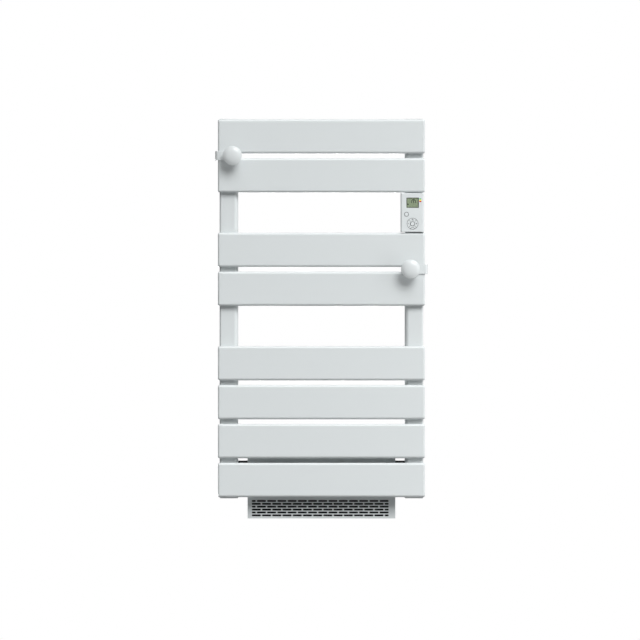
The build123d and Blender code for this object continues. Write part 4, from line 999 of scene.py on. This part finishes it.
def buildCamera():  # a long lens far off, as level and square to the slats as the photo is
    values = viewValues
    camera = bpy.data.cameras.new("camera")
    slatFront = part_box("slat_1")[0].y
    camera.sensor_width = values["sensor"]
    camera.lens = values["sensor"] * values["distance"] / values["width"]
    camera.clip_start = values["clipStart"]
    camera.clip_end = values["clipEnd"]
    holder = bpy.data.objects.new("camera", camera)
    holder.location = (values["centreX"], slatFront - values["distance"], values["centreZ"])
    holder.rotation_euler = (pi / 2, 0, 0)
    scene.collection.objects.link(holder)
    scene.camera = holder


def lampHolder(name, lamp, azimuth, elevation, distance):  # degrees, from the front and to the right
    holder = bpy.data.objects.new(name, lamp)
    a = radians(azimuth)
    e = radians(elevation)
    direction = Vector((sin(a) * cos(e), -cos(a) * cos(e), sin(e)))
    holder.location = direction * distance
    holder.rotation_euler = direction.to_track_quat("Z", "Y").to_euler()
    scene.collection.objects.link(holder)


def addSun(name, azimuth, elevation, spread, strength):
    lamp = bpy.data.lights.new(name, "SUN")
    lamp.angle = radians(spread)
    lamp.energy = strength
    lampHolder(name, lamp, azimuth, elevation, 3)  # a sun shines alike from any distance


def addStrip(name, azimuth, elevation, distance, wide, tall, power):
    lamp = bpy.data.lights.new(name, "AREA")
    lamp.shape = "RECTANGLE"
    lamp.size = wide
    lamp.size_y = tall
    lamp.energy = power
    lampHolder(name, lamp, azimuth, elevation, distance)


def seenDirectly(graph):  # 1 for what the camera sees itself, in a mirror or through glass
    path = graph.add("ShaderNodeLightPath")
    direct = path["Is Camera Ray"] + path["Is Glossy Ray"] + path["Is Transmission Ray"]
    return direct.maths("MINIMUM", direct, 1)


stageValues = {"reach": 12, "below": 0.55, "sky": 0.05, "skySeen": 1.0, "tone": (0.3, 0.3, 0.3, 1),
               "toneSeen": (0.8, 0.8, 0.8, 1), "fadeFrom": 1.5, "fadeTo": 3.2}


def buildStage():  # a white floor and sky, dimmer in the light that they give than they look
    values = stageValues
    white = (1, 1, 1, 1)
    world = bpy.data.worlds.new("studio")
    scene.world = world
    graph = emptyGraph(world)
    dim = graph.add("ShaderNodeBackground", None, {"Color": white, "Strength": values["sky"]})
    bright = graph.add("ShaderNodeBackground", None, {"Color": white, "Strength": values["skySeen"]})
    sky = graph.add("ShaderNodeMixShader", None, {0: seenDirectly(graph), 1: dim, 2: bright})
    graph.add("ShaderNodeOutputWorld", None, {"Surface": sky})
    mesh = bpy.data.meshes.new("floor")
    reach = values["reach"]
    height = cadLow.z - values["below"]
    mesh.from_pydata([(-reach, -reach, height), (reach, -reach, height), (reach, reach, height),
                      (-reach, reach, height)], [], [(0, 1, 2, 3)])
    floor = bpy.data.objects.new("floor", mesh)
    scene.collection.objects.link(floor)
    material = bpy.data.materials.new("floorWhite")
    graph = emptyGraph(material)
    spot = graph.add("ShaderNodeTexCoord")["Object"]
    far = graph.add("ShaderNodeMapRange", {"interpolation_type": "SMOOTHSTEP"},
                    {"Value": graph.vector("LENGTH", spot)["Value"], "From Min": values["fadeFrom"],
                     "From Max": values["fadeTo"]})
    seen = seenDirectly(graph)
    tone = graph.mix(seen, values["tone"], values["toneSeen"])
    matt = graph.add("ShaderNodeBsdfDiffuse", None, {"Color": tone})
    glow = graph.add("ShaderNodeEmission", None, {"Color": white, "Strength": 1.0})
    surface = graph.add("ShaderNodeMixShader", None, {0: far * seen, 1: matt, 2: glow})
    below = graph.add("ShaderNodeNewGeometry")["Backfacing"] * seen  # open to a view from underneath
    surface = graph.add("ShaderNodeMixShader", None,
                        {0: below, 1: surface, 2: graph.add("ShaderNodeBsdfTransparent")})
    graph.add("ShaderNodeOutputMaterial", None, {"Surface": surface})
    mesh.materials.append(material)


buildCamera()
# suns: azimuth, elevation, spread, strength; strips: azimuth, elevation, distance, width, height, power
addSun("keyLamp", 25, 40, 34, 2.6)
addSun("topLamp", 5, 68, 44, 0.95)
addSun("rightLamp", 60, 30, 30, 0.36)
addStrip("sideLamp", 60, 0, 1.8, 0.5, 2.6, 11)
addSun("glintLamp", 33, 43, 4, 0.15)
addStrip("backLamp", 190, -12, 3, 2.4, 0.3, 75)
buildStage()
scene.view_settings.view_transform = "Standard"
print("stage ready")
